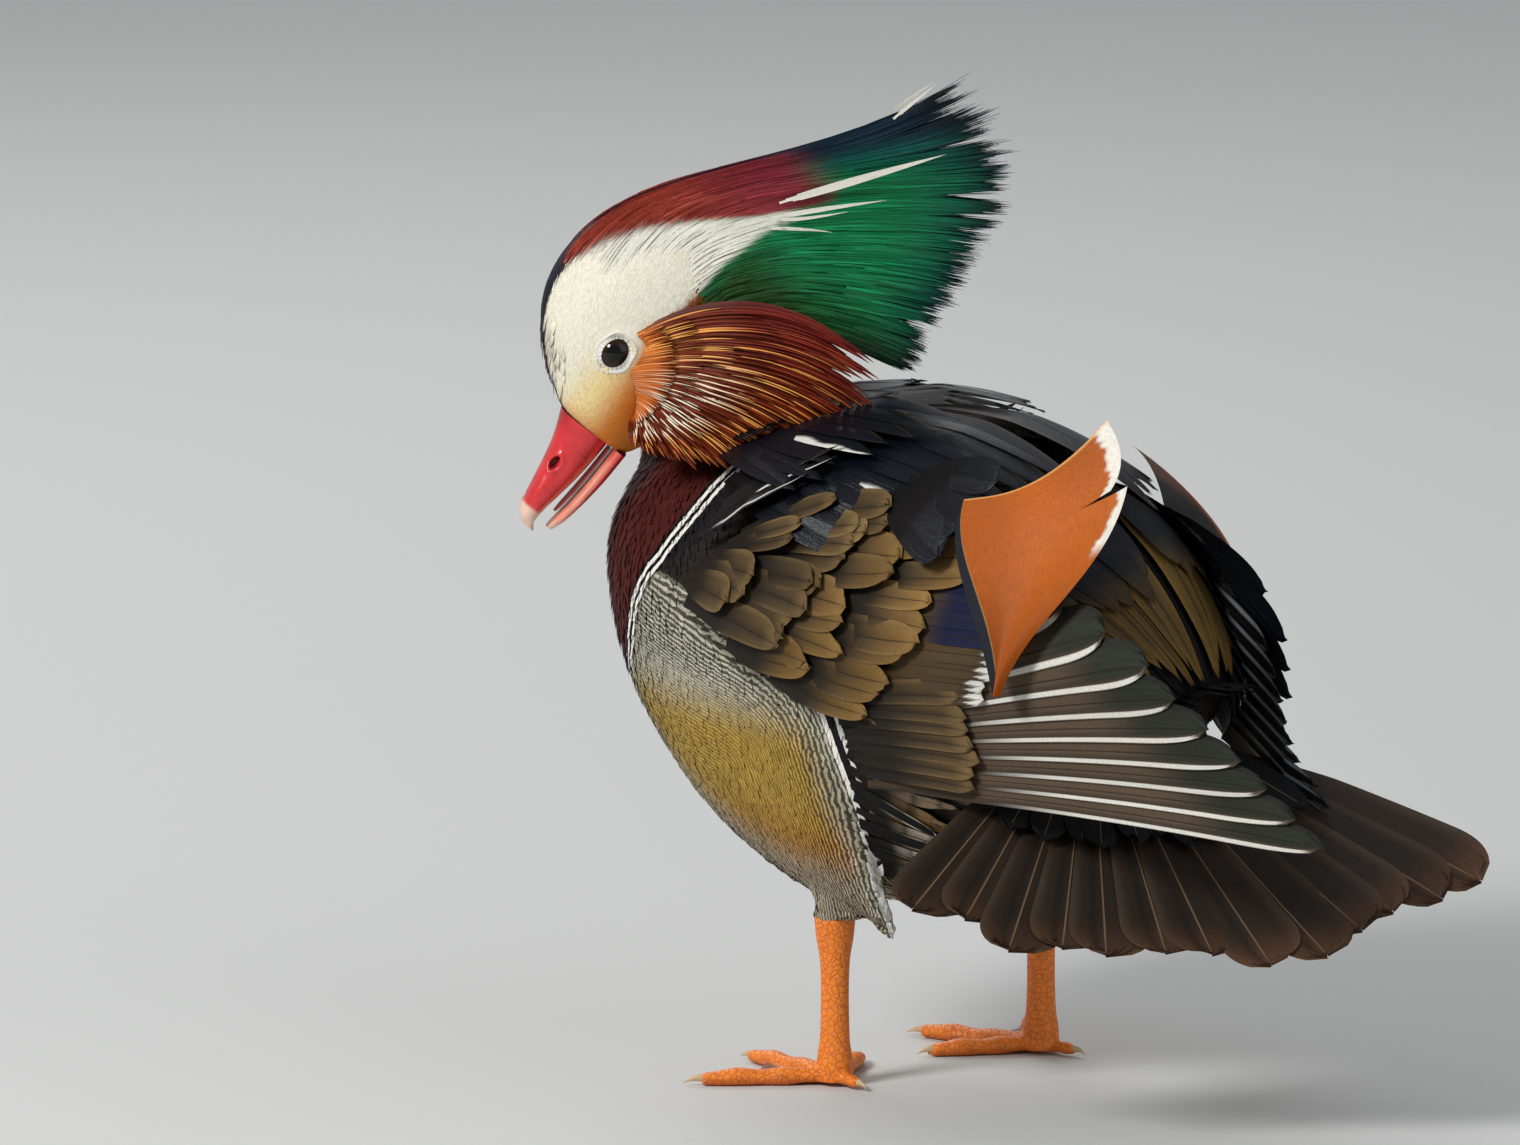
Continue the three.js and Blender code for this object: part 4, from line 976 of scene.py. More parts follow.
def streakStrands(line, spread, hairs, sign, rows):
    along = np.linspace(0, 1, rows)
    first = chance.random((hairs, 1)) * 0.25
    t = first + (1 - first) * along[None] * (0.82 + 0.18 * chance.random((hairs, 1)))
    full = np.sin(np.clip(t * 0.95 + 0.05, 0, 1) * math.pi) ** 0.8 * (1 - 0.5 * t)
    path = bend(line, t) + chance.normal(0, 0.4, (hairs, 1, 2)) * spread * full[..., None]
    away = np.interp(path[..., 0], [-104, -88, -60, -40], [1.6, 6.2, 10.4, 13.5]) + 0.9
    centre = headAt(path[..., 0], sign * away, path[..., 1])
    strands = ribbons(centre, headSide * sign, 0.3 * hairTip(along)[None, :, None] + 0 * t[..., None])
    return strands, crestColours["white"] * (0.9 + 0.1 * chance.random((hairs, rows, 1)))


rows = crestLook["rows"]
made = [crestStrands(crestLook)]
for line, spread, hairs in streaks:
    for sign in (1, -1):
        made.append(streakStrands(line, spread, hairs, sign, rows))
strands, tint = [np.concatenate(kind) for kind in zip(*made)]
forward, side, up = headLocal(strands[:, 0, 0])
spots = np.stack([0.97 + forward / 110, 0.26 + 0.5 * (side > 0) + (up + 30) / 260], -1)
crestFinish = plainPlumage("crest plumage", 0.42, 2600.0)
addPiece("crest_locks", strands, gridFaces(rows, 2, len(strands)), crestFinish, "crest_plumage", ["crest"],
         np.repeat(np.clip(tint, 0, 1)[:, :, None], 2, axis=2), None, patchMap(spots, rows, 2))

# ruffs

ruffRoots = [[-9, 0], [-8, -10], [2, -14], [9, -13]]
ruffTips = [[-40, -46], [-36, -66], [6, -52], [14, -16]]
# for each layer: plumes, where they begin and stop on the fan, half width, and how far they stand out
ruffLook = {
    "layers": [
        [48, 0.02, 1.0, 1.75, 3.2],
        [46, 0.0, 0.93, 1.35, 3.9],
        [48, -0.02, 0.76, 1.0, 4.3],
        [52, -0.04, 0.56, 0.78, 4.4],
        [62, -0.06, 0.36, 0.6, 3.9],
        [84, -0.08, 0.22, 0.46, 3.1],
        [120, -0.12, 0.1, 0.34, 2.2],
    ],
    "rows": 14, "lit": 0.42, "rightOut": 19,
}
ruffColours = palette(
    vane=(150, 56, 16), dark=(58, 16, 8), gold=(255, 172, 84), pale=(255, 238, 208), red=(150, 48, 36),
    root=(176, 82, 22), cheek=(190, 100, 30),
)


def ruffTints(v, t, count):
    k = ruffColours
    low, across = v[:, None], t[..., None]
    fair = ease(0.25, 0.55, low) * ease(0.62, 0.3, t)
    shaft = mix(k["gold"], k["pale"], fair[..., None])
    shaft = mix(shaft, k["root"], 0.6 * ease(0.7, 1, across))
    shaft = mix(shaft, k["red"] * 1.5, (ease(0.3, 0.05, low) * ease(0.25, 0.5, t))[..., None])
    vane = mix(k["root"], k["vane"], ease(-0.02, 0.2, across))
    vane = mix(vane, k["red"], (ease(0.45, 0.1, low) * ease(0.2, 0.6, t))[..., None])
    dark = mix(vane, k["dark"], 0.35 + 0.6 * ease(0.0, 0.2, across))
    vane = mix(vane, k["dark"], 0.5 * ease(0.0, 0.16, across) * ease(0.75, 0.45, across))
    blush = ease(0.1, -0.06, across)
    vane, dark = mix(vane, k["cheek"], blush), mix(dark, k["cheek"], blush)
    shaft = mix(shaft, k["cheek"] * 1.15, blush * 0.8)
    lit = chance.random((count, 1, 1)) < ruffLook["lit"]
    shaft = np.where(lit, shaft, vane * 1.15)
    bright = np.exp(chance.normal(0, 0.14, (count, 1, 1, 1)))
    return np.stack([vane * 0.6, dark, shaft, shaft, dark, vane * 0.75], 2) * bright


def ruffPlumes(sign):
    out = 0 if sign > 0 else ruffLook["rightOut"]
    rows = ruffLook["rows"]
    s = np.linspace(0, 1, rows)[None]
    ridge = [-0.35, 0.1, 0.3, 0.3, 0.1, -0.35]
    grids, tints = [], []
    for count, begin, stop, half, lift in ruffLook["layers"]:
        v = np.clip((np.arange(count) + 0.5 + chance.normal(0, 0.35, count)) / count, 0, 1)
        a, b = bend(ruffRoots, v), bend(ruffTips, v)
        swell = -0.32 * (1 - v)[:, None] + chance.normal(0, 0.02, (count, 1))
        pull = (a + b) / 2 + np.stack([-(b - a)[:, 1], (b - a)[:, 0]], -1) * swell
        ends = stop * (1 + chance.normal(0, 0.05, count))
        first = np.where(begin < 0, begin * ease(0.08, 0.45, v), begin)[:, None]
        t = first + (ends[:, None] - first) * s
        line = bend([a[:, None], pull[:, None], b[:, None]], t)
        skull = skullSide(line[..., 0], line[..., 1])
        full = 16.6 + lift + out * 0.8 * np.clip(t, 0, 1)
        side = mix(np.maximum(skull, 9) - 0.5 + 1.2 * s, full, ease(first, first + 0.42, t))
        side = side + chance.normal(0, 0.3, (count, 1)) * s + 0.9 * s ** 2
        centre = headAt(line[..., 0], sign * side, line[..., 1])
        along = unit(np.gradient(centre, axis=1))
        across = unit(np.cross(along, headSide * sign))
        wide = half * np.sin(np.clip(s * 0.84 + 0.16, 0, 1) * math.pi) ** 0.6 * (1 - 0.4 * s) + 0.06
        thin = min(0.3, 0.19 / half)
        webs = [-1, -1.7 * thin, -thin, thin, 1.7 * thin, 1]
        grids.append(np.stack([centre + across * (wide * c)[..., None] + headSide * sign * r * min(1, half)
                               for c, r in zip(webs, ridge)], 2))
        tints.append(ruffTints(v, t, count))
    grid, tint = np.concatenate(grids), np.concatenate(tints)
    f, _, u = headLocal(grid[:, 0, 2])
    spots = np.stack([0.5 + f / 110, 0.5 + u / 150], -1)
    return grid, np.clip(tint, 0, 1), patchMap(spots, rows, len(ridge))


ruffFinish = plainPlumage("ruff plumage", 0.5, 3000.0)
for side, sign in sides.items():
    grid, tint, maps = ruffPlumes(sign)
    count, rows, cols = grid.shape[:3]
    addPiece("ruff_plumes_" + side, grid, gridFaces(rows, cols, count), ruffFinish, "ruff_plumage",
             ["ruff_" + side], tint, None, maps)
print("crest and ruffs made")


# vanes of wings, back and tail

# places p, q on a surface with a lift off it
def onSurface(point, outward):
    def place(p, q, lift):
        at = point(p, q)
        across = point(p + 1, q) - point(p - 1, q)
        normal = unit(np.cross(across, point(p, q + 1) - point(p, q - 1)))
        facing = np.where(dot(normal, np.asarray(outward, float)) < 0, -1, 1)
        return at + normal * (facing * lift)[..., None]
    return place


# how far out the left wing lies
def wingSide(x, z):
    free = 58 + 0.03 * np.maximum(0, x) - 0.067 * np.maximum(0, z - 118) ** 1.6
    return np.maximum(torsoSide(x, z) + 3.2, free)


# how far out the right wing lies, which folds in towards the tail
def foldSide(x, z):
    free = mix(54, -8, np.clip((x - 12) / 110, 0, 1)) - 0.067 * np.maximum(0, z - 122) ** 1.6
    return np.maximum(torsoSide(x, z) + 3.6, free)


# the back by p along X and q down from the ridge
def backPoint(sign):
    table = through(torsoRows, np.linspace(0, 1, 201))

    def point(p, q):
        row = through(torsoRows, np.interp(p, table[:, 0], np.linspace(0, 1, len(table))))
        c, s = rounded(q / 50, torsoPower)
        middle, up = torsoMiddle(row)
        x, _, z = np.moveaxis(middle + up * c[..., None], -1, 0)
        return np.stack([x + p - row[..., 0], sign * row[..., 4] * s, z], -1)
    return point


leftPlace = onSurface(lambda x, z: np.stack([x, -wingSide(x, z), z], -1), (0, -1, 0))
rightPlace = onSurface(lambda x, z: np.stack([x, foldSide(x, z), z], -1), (0, 1, 0))
tailRoot = np.array([52, -5, 101.0])
tailAlong = unit(np.array([0.705, -0.483, -0.52]))
tailUp = unit(np.array([0.391, -0.349, 0.85]))
tailSide = unit(np.cross(tailUp, tailAlong))


def tailPlace(a, l, lift):
    rise = lift - 0.0008 * l * l
    return tailRoot + a[..., None] * tailAlong + l[..., None] * tailSide + rise[..., None] * tailUp


def tailUnder(a, l, lift):
    return tailPlace(a, l, -lift)


# width at the root, where it is full, where the tip begins, its length, its two powers, and the taper
tipShapes = {
    "flight": (0.45, 0.25, 0.8, 0.2, 2.4, 0.5, 0.12),
    "round": (0.5, 0.35, 0.55, 0.45, 2.6, 0.5, 0),
    "square": (0.4, 0.5, 0.86, 0.14, 3, 0.5, 0),
    "tail": (0.4, 0.5, 0.84, 0.16, 2.2, 0.5, 0),
    "lance": (0.5, 0.3, 0.35, 0.65, 1.7, 0.8, 0),
}


def vaneWidth(shape, s):
    root, full, begin, length, power, curve, taper = tipShapes[shape]
    tip = np.clip(1 - ((s - begin) / length).clip(0, 1) ** power, 0, 1) ** curve
    return (root + (1 - root) * ease(0, full, s)) * (1 - taper * s) * tip


# a family of lines from one row of roots to one row of tips
def crossLine(roots, tips, bow=0.0):
    def line(v):
        a, b = bend(roots, v), bend(tips, v)
        middle = (a + b) / 2 + np.array([-(b - a)[1], (b - a)[0]]) * bow
        return [a, middle, b]
    return line


# one tier of vanes side by side; paint(s, c, i) gives the tint along s and across c of vane i
def vaneTier(place, line, count, paint, shape="round", lift=(0.3, 2.4, 4.2), step=0.55, overlap=1.5,
             outer=0.8, rows=22, cols=13, fray=0.02, middle=None, crown=0.25, loose=0.0, reaches=None):
    grids, tints, lengths = [], [], []
    s = np.linspace(0, 1, rows)
    c = np.linspace(-1, 1, cols)
    for i in range(count):
        v = (i + 0.5) / count + chance.normal(0, 0.16) * loose / count
        path = line(np.array(v))
        near, before = line(np.array(v + 0.5 / count)), line(np.array(v - 0.5 / count))
        stretch = (1 + chance.normal(0, 0.015 + 0.05 * loose)) * (reaches[i] if reaches else 1)
        notch = fray * (chance.random(cols) * np.linspace(0, 1, rows)[:, None] ** 6)
        grown = s[:, None] * stretch * (1 - notch)
        sway = chance.normal(0, 0.9) * loose * s[:, None] ** 2
        centre = bend(path, grown)
        run = unit(bend(path, grown + 0.01) - bend(path, grown - 0.01))
        across = np.stack([-run[..., 1], run[..., 0]], -1)
        turn = np.sign(dot(near[1] - before[1], across[rows // 2, cols // 2]))
        gaps = bend(near, s) - bend(before, s)
        spacing = np.abs(dot(gaps, across[:, 0]))
        wide = np.maximum(spacing, 1.5) * 0.5 * overlap * vaneWidth(shape, s)
        wide = wide * (1 + 0.08 * loose * chance.normal())
        web = np.where(c < 0, outer, 2 - outer) * c
        flat = centre + across * (turn * wide[:, None] * web + sway)[..., None]
        own = 1 if middle is None else np.sign(middle - i)
        high = (1 - own * c) / 2 if own else 1 - np.abs(c) * 0.5
        base = np.interp(s, [0, 0.5, 1], lift)[:, None]
        rise = base + step * high * np.minimum(1, 2 * s)[:, None] + crown * (1 - c ** 2) * s[:, None]
        rise = rise + loose * chance.normal(0, 0.3) * s[:, None]
        rise = rise + 0.2 * np.sin(s * 5 + i)[:, None] * s[:, None]
        grids.append(place(flat[..., 0], flat[..., 1], rise))
        tint = paint(s[:, None] + 0 * c, c + 0 * s[:, None], i)
        tints.append(tint * np.exp(chance.normal(0, 0.06 + 0.08 * loose)))
        lengths.append(np.linalg.norm(path[-1] - path[0]) * stretch)
    return grids, tints, lengths, rows, cols


# joins tiers into one piece, each vane in a cell of its own on the bake map
def addVanes(name, tiers, finish, slot, replaced=()):
    points, faces, tints, vaneMaps, bakeMaps = [], [], [], [], []
    total = sum(len(tier[0]) for tier in tiers)
    across = int(math.ceil(math.sqrt(total)))
    start = done = 0
    for grids, colours, lengths, rows, cols in tiers:
        s, c = net(rows, cols)
        for grid, tint, length in zip(grids, colours, lengths):
            points.append(grid.reshape(-1, 3))
            faces.append(gridFaces(rows, cols) + start)
            tints.append(tint.reshape(-1, 3))
            vaneMaps.append(np.stack([c, s * length / 100], -1).reshape(-1, 2))
            cell = np.array([done % across, done // across])
            bakeMaps.append(((cell + 0.05 + 0.9 * np.stack([c, s], -1)) / across).reshape(-1, 2))
            start += rows * cols
            done += 1
    tint = np.clip(np.concatenate(tints), 0, 1)
    maps = {"vane": np.concatenate(vaneMaps), "OFBake": np.concatenate(bakeMaps)}
    addPiece(name, np.concatenate(points), np.concatenate(faces), finish, slot, replaced, tint, None, maps)


# vane colours: dark serves both for dark markings and for painted shade, and the tail tip colour is painted
# light shining through the feather tips
wingColours = palette(
    brown=(82, 64, 38), pale=(128, 102, 62), dark=(20, 15, 10), primary=(86, 70, 54),
    white=(214, 210, 200), green=(26, 34, 26), blue=(10, 17, 50), black=(9, 9, 11), gloss=(11, 14, 23),
    silver=(128, 130, 134), tail=(38, 28, 20), tailTip=(92, 60, 36), olive=(92, 72, 34),
    gold=(150, 110, 46),
)


# colours laid over a base, each by an amount over the vane
def painted(base, *layers):
    tint = base + 0 * layers[0][1][..., None]
    for colour, amount in layers:
        tint = mix(tint, colour, amount[..., None])
    return tint


k = wingColours


# covert: pale rims, a darker middle and a thin dark tip line; the dark towards the root is painted shade
# where each covert runs in under the row before it
def coverPaint(s, c, i):
    rim = np.maximum(ease(0.8, 0.96, s), ease(0.6, 1.0, np.abs(c)) * ease(0.3, 0.7, s))
    return painted(k["brown"], (k["dark"], 0.5 * ease(0.5, 0.0, np.abs(c))),
                   (k["dark"], 0.95 * ease(0.84, 0.3, s)), (k["pale"], 0.5 * rim),
                   (k["dark"], 0.3 * ease(0.97, 1.0, s)))


def goldPaint(s, c, i):
    return painted(coverPaint(s, c, i), (k["gold"], 0.35 * ease(0.4, 0.9, s)))


# primary: a white band near the lower edge with dark above it, a green-grey tip and a darker root; the dark
# line along the upper edge is a painted shadow of the overlapping feather
def primaryPaint(s, c, i):
    band = ease(-0.6, -0.67, c) * ease(-0.98, -0.93, c) * ease(0.26, 0.5, s) * ease(0.985, 0.955, s)
    tip = ease(0.66, 0.84, s) * ease(-0.55, -0.3, c)
    return painted(k["primary"], (k["dark"], 0.55 * ease(0.0, -0.5, c)), (k["green"], 0.9 * tip),
                   (k["white"], band), (k["dark"], 0.6 * ease(0.55, 1, c)),
                   (k["dark"], 0.5 * ease(0.3, 0, s)))


# blue on the inner ones, a white bar on the outer four
def secondaryPaint(s, c, i):
    bar = ease(0.86, 0.9, s + 0.05 * np.sin(c * 9))
    return painted(k["brown"] * 0.8, (k["blue"], float(i > 3) * ease(0.2, 0.5, s)),
                   (k["dark"], 0.5 * ease(0.7, 0.9, s)), (k["white"], bar * float(i < 4)))


def scapularPaint(s, c, i):
    streak = ease(-0.35, -0.6, c + 0.15 * np.sin(s * 30)) * ease(0.3, 0.5, s) * ease(0.99, 0.93, s)
    return painted(k["gloss"], (k["black"], ease(0.4, 0.1, s)), (k["white"] * 1.15, streak * float(i == 3)),
                   (k["olive"], 0.4 * ease(0.6, 1, c) * float(i > 3)))


def streakPaint(s, c, i):
    off = np.abs(c + 0.35 + 0.1 * np.sin(s * 24))
    streak = ease(0.25, 0.1, off) * ease(0.12, 0.3, s) * ease(0.99, 0.9, s)
    return painted(k["black"], (k["white"] * 1.15, streak * float(i < 2)))


def slashPaint(s, c, i):
    slash = ease(0.4, 0.6, np.abs(c)) * ease(0.95, 0.8, np.abs(c)) * ease(0.5, 0.7, s) * ease(0.995, 0.94, s)
    return painted(k["black"], (k["silver"], 0.85 * slash))


def glossPaint(s, c, i):
    return painted(k["black"], (k["gloss"], ease(0.3, 0.9, s)))


def blackPaint(s, c, i):
    return k["black"] + 0 * s[..., None]


def rumpPaint(s, c, i):
    rim = np.maximum(ease(0.8, 0.97, s), ease(0.65, 1.0, np.abs(c)))
    return painted(k["olive"], (k["dark"], ease(0.6, 0.25, s)), (k["dark"], 0.5 * ease(0.3, 0, np.abs(c))),
                   (k["gold"], 0.3 * rim))


def darkRumpPaint(s, c, i):
    return painted(glossPaint(s, c, i), (k["olive"], 0.5 * ease(0.75, 1, s)))


# tail feather: darker root, paler edges and a dark strip beside the shaft; the paler tips are painted light
# shining through the thin feather ends, stronger on the later feathers of the fan
def tailPaint(s, c, i):
    edge = 0.4 * ease(0.6, 1, np.abs(c)) * ease(0.3, 0.7, s)
    tip = 0.6 * ease(0.82, 1, s) * (0.35 + 0.65 * min(1, i / 8))
    return painted(k["tail"], (k["dark"], ease(0.5, 0.2, s)), (k["primary"], edge),
                   (k["tailTip"], tip), (k["dark"], 0.6 * ease(0.25, 0, np.abs(c + 0.3))))


def ventPaint(s, c, i):
    base = mix(k["gold"], k["white"], 0.35 + 0.4 * math.sin(i * 2.4))
    bars = ease(0.15, 0.5, np.sin(s * 26 + i) * 0.5)
    return painted(base, (k["dark"], ease(0.7, 0.3, s)), (k["dark"], 0.7 * bars),
                   (k["black"], float(i % 3 == 0) * ease(0.9, 0.7, np.abs(c))))


# what both sides have: small coverts of the arm, shoulder and back vanes, rump and vent
def frontTiers(place, sign):
    over = onSurface(backPoint(sign), (0, sign * 0.4, 1))
    beside = onSurface(lambda x, z: np.stack([x, sign * (torsoSide(x, z) + 1.2), z], -1), (0, sign, 0))
    covers = [
        vaneTier(place, crossLine([[-38, 121], [-10, 147]], [[-8, 114], [6, 132], [28, 150]]),
                 7, coverPaint, lift=(0.3, 3.2, 5.2), loose=1.4, fray=0.06),
        vaneTier(place, crossLine([[-40, 127], [-23, 142]], [[-22, 119], [-9, 136], [10, 151]]),
                 6, coverPaint, lift=(0.3, 3.6, 5.6), loose=1.4, fray=0.06),
        vaneTier(place, crossLine([[-36, 127], [15, 103]], [[-20, 121], [6, 113], [29, 97]]), 9, coverPaint,
                 lift=(0.2, 1.0, 1.6), loose=0.6, overlap=1.6),
        vaneTier(place, crossLine([[-30, 126], [0, 150]], [[-2, 117], [10, 134], [30, 152]]), 7, coverPaint,
                 lift=(0.3, 2.6, 4.6), loose=1.2, overlap=1.6, fray=0.06),
    ]
    back = [
        vaneTier(over, crossLine([[-26, 48], [-18, 5]], [[30, 52], [46, 28], [56, 5]]), 9, scapularPaint,
                 "lance", (2, 7, 7.6), overlap=1.9, loose=0.5, rows=34),
        vaneTier(over, crossLine([[-40, 42], [-32, 10]], [[-4, 44], [10, 28], [18, 8]]), 8, scapularPaint,
                 "lance", (2, 8.5, 9.4), overlap=1.9, loose=0.6, rows=30),
        vaneTier(place, crossLine([[-37, 137], [-31, 148]], [[-3, 152], [2, 161]]), 3, streakPaint,
                 "lance", (1, 6.2, 7.4), overlap=1.3, loose=0.3, rows=30),
        vaneTier(over, crossLine([[-50, 34], [-46, 4]], [[-24, 38], [-17, 20], [-8, 4]]), 9, blackPaint,
                 lift=(0, 5.5, 8.5), overlap=2.8, loose=1.0, rows=26, fray=0.08),
    ]
    rump = [
        vaneTier(over, crossLine([[58, 46], [56, 0]], [[88, 46], [95, 26], [93, 0]]), 8, blackPaint,
                 lift=(0.2, 0.5, 0.4), overlap=2.0, loose=0.8),
        vaneTier(over, crossLine([[50, 46], [46, 5]], [[78, 46], [83, 26], [82, 5]]), 7, rumpPaint,
                 lift=(0.5, 1.8, 2.4), overlap=1.8, loose=0.8),
        vaneTier(over, crossLine([[40, 46], [36, 5]], [[64, 46], [69, 26], [69, 5]]), 7, darkRumpPaint,
                 lift=(0.8, 2.6, 3.6), overlap=1.8, loose=0.8),
    ]
    vent = [
        vaneTier(beside, crossLine([[12, 98], [12, 56]], [[40, 84], [36, 70], [26, 52]]), 16, ventPaint,
                 lift=(0.2, 1.2, 1.8), overlap=1.8, loose=1.6, fray=0.25),
        vaneTier(beside, crossLine([[28, 96], [26, 62]], [[58, 88], [54, 72], [42, 58]]), 14, ventPaint,
                 lift=(0.2, 0.9, 1.2), overlap=1.8, loose=1.6, fray=0.25),
    ]
    lesser, least, edge, filler = covers
    return [edge, filler, lesser, least], back, rump + vent[::-1]


vaneFinishes = {
    "wing": vaneFinish("wing vane", tone(34, 26, 18), 0.025, 0.55),
    "back": vaneFinish("glossy back vane", tone(12, 12, 14), 0.02, 0.3, specular=0.3),
    "tail": vaneFinish("tail vane", tone(120, 94, 70), 0.014, 0.6),
}
flight = {"shape": "flight", "rows": 48, "cols": 25}
secondary = {"shape": "square", "rows": 34, "cols": 13}
leftTiers = [
    vaneTier(leftPlace, crossLine([[22, 82], [20, 106]], [[166, 79.5], [137, 109], [72, 138]], 0.03),
             9, primaryPaint, lift=(0.5, 0.9, 0.8), step=1.0, overlap=1.75, outer=0.7, **flight),
    vaneTier(leftPlace, crossLine([[22, 106], [32, 140]], [[66, 108], [72, 122], [66, 142]]),
             9, secondaryPaint,
             lift=(0.3, 2.6, 3.0), overlap=1.6, outer=0.7, reaches=[0.85, 0.82, 0.86, 0.92, 1, 1, 1, 1, 1],
             **secondary),
    vaneTier(leftPlace, crossLine([[20, 85], [9, 105]], [[54, 84], [63, 96], [49, 111]], 0.04),
             7, coverPaint,
             "flight", (0.3, 2.4, 3.0), step=0.6, overlap=1.7, outer=0.7, rows=26, cols=15, loose=0.4),
    vaneTier(leftPlace, crossLine([[-10, 106], [16, 140]], [[23, 100], [39, 120], [55, 143]], -0.05),
             9, goldPaint, lift=(0.3, 3.0, 3.6), overlap=1.8, loose=0.9, rows=30, fray=0.04),
    vaneTier(leftPlace, crossLine([[-24, 112], [4, 145]], [[3, 108], [18, 125], [37, 145]], -0.04),
             8, goldPaint, lift=(0.3, 3.1, 4.6), overlap=1.7, loose=1.4, rows=26, fray=0.06),
]
covers, back, rump = frontTiers(leftPlace, -1)
topLine = crossLine([[14, 150], [24, 158]], [[40, 136], [48, 146], [54, 156]])
topCovers = vaneTier(leftPlace, topLine, 4, glossPaint, lift=(3, 6.4, 8.4), overlap=1.9, loose=0.5)
addVanes("wing_vanes_left", leftTiers + covers, vaneFinishes["wing"], "wing_plumage", ["wing_left"])
addVanes("back_vanes_left", back + [topCovers], vaneFinishes["back"], "wing_plumage")
addVanes("rump_vanes_left", rump, vaneFinishes["wing"], "body_plumage")
rightTiers = [
    vaneTier(rightPlace, crossLine([[44, 100], [42, 136]], [[121, 71], [105, 90], [90, 118]]),
             9, slashPaint, lift=(0.5, 2.4, 3.4), step=1.0, overlap=2.0, outer=1.0, **flight),
    vaneTier(rightPlace, crossLine([[16, 100], [26, 134]], [[62, 88], [76, 100], [82, 116]]),
             8, secondaryPaint, lift=(0.3, 3.8, 4.2), overlap=1.6, outer=0.7, **secondary),
    vaneTier(rightPlace, crossLine([[28, 134], [32, 147]], [[102, 98], [98, 114], [84, 130]]),
             4, glossPaint,
             lift=(1, 5.4, 6.4), step=0.8, overlap=2.0, outer=0.9, rows=34, cols=15, loose=0.4),
    vaneTier(rightPlace, crossLine([[-10, 102], [10, 137]], [[30, 88], [44, 106], [50, 128]]), 8, goldPaint,
             lift=(0.3, 3.2, 4.8), overlap=1.8, loose=0.5, rows=26),
    vaneTier(rightPlace, crossLine([[-22, 112], [4, 143]], [[14, 99], [28, 117], [42, 138]]), 8, goldPaint,
             lift=(0.3, 3.4, 5.0), overlap=1.8, loose=0.6, rows=26),
]
covers, back, rump = frontTiers(rightPlace, 1)
addVanes("wing_vanes_right", rightTiers + covers, vaneFinishes["wing"], "wing_plumage", ["wing_right"])
addVanes("back_vanes_right", back, vaneFinishes["back"], "wing_plumage")
addVanes("rump_vanes_right", rump, vaneFinishes["wing"], "body_plumage")
print("wings and back made")


# spokes of a fan: half its angle, where they start, and the length of the middle one with what an angle adds
def fanLine(width, start, reach, grows=0):
    def line(v):
        angle = width * (2 * v - 1)
        far = reach + grows * angle
        spoke = np.array([np.cos(angle), np.sin(angle)])
        return [spoke * start, spoke * (start + far) / 2, spoke * far]
    return line


chance = np.random.default_rng(41)
tailCover = {"step": 0.8, "overlap": 1.8, "outer": 1, "rows": 24, "fray": 0.05, "loose": 0.6}
tailTiers = [
    vaneTier(tailPlace, fanLine(0.86, 20, 101, 9), 13, tailPaint, "tail", (-0.4, -0.2, -0.4), step=0.9,
             overlap=1.9, outer=0.85, rows=56, cols=31, fray=0.022, middle=6.5, loose=0.35),
    vaneTier(tailPlace, fanLine(0.7, 6, 62), 11, blackPaint, lift=(1, 3.4, 3), middle=5, **tailCover),
    vaneTier(tailPlace, fanLine(0.5, 2, 46), 8, rumpPaint, lift=(2, 5.4, 5), middle=3.5, **tailCover),
    vaneTier(tailUnder, fanLine(0.76, 6, 66), 11, tailPaint, lift=(1, 3.4, 2.6), middle=5, **tailCover),
]
addVanes("tail_vanes", tailTiers, vaneFinishes["tail"], "tail_plumage", ["tail"])
print("tail made")

# sails

# sail colours; deep is the sail orange darkened as painted shade
sailLook = palette(orange=(186, 92, 14), deep=(122, 54, 8), gold=(236, 186, 110), white=(232, 226, 212),
                   blue=(8, 11, 24))
sailShaft = [[46, 157], [45, 143], [62, 134], [68.5, 113]]
sailRim = [[83.5, 179.5], [101, 166], [96, 144], [72, 133], [70, 112.5]]
sailEdge = [[45.4, 156], [42.5, 143], [57, 132.5], [67, 112.5]]
# the web above and below the split: its share of the shaft, how far it opens, and its reach at the split
sailParts = [((0, 0.24), -0.014, 0.93), ((0.24, 1), 0.006, 1.02)]
rightShaft = [[34, 150], [54, 144], [75, 121]]
rightRim = [[28, 126], [48, 116], [74, 118]]


def sailPlace(x, z, lift):
    return np.stack([x, -(52 + 0.02 * (x - 46) - 0.398 * (z - 157) + lift), z], -1)


# a web between two lines: away gives its lift from root to rim, hollow how deep its upper edge is drawn in
def sailGrid(place, roots, tips, rows, cols, away, span=(0, 1), hollow=0.0, gape=0.0, reach=1.0):
    t, c = net(rows, cols, across=span)
    near = np.clip((c - span[0]) / (span[1] - span[0]), 0, 1)
    near = near ** 4 if gape < 0 else (1 - near) ** 4
    moved = c + gape * near * ease(0.8, 1, t)
    a, b = bend(roots, moved), bend(tips, moved)
    far = t * mix(1, reach, near)
    flat = mix(a, b, far[..., None])
    flat[..., 1] -= hollow * 4 * far * (1 - far) * (0.6 + 0.8 * far) * (1 - c) ** 3
    return place(flat[..., 0], flat[..., 1], away(far)), t, c


def sailPaint(t, c):
    fringe = 0.006 * np.sin(c * 210 + 3 * np.sin(c * 31)) + 0.012 * np.sin(c * 17) + 0.008 * np.sin(c * 61)
    edge = ease(0.935, 0.955, t + fringe) * ease(0.5, 0.42, c)
    shade = 0.5 * ease(0.35, 1, c) + 0.3 * ease(0.6, 0.2, t) + 0.35 * ease(0.3, 0, c) * ease(0.5, 0.9, t)
    return painted(mix(sailLook["orange"], sailLook["deep"], shade[..., None]), (sailLook["white"], edge),
                   (sailLook["gold"], 0.6 * ease(0.012, 0.004, c)))


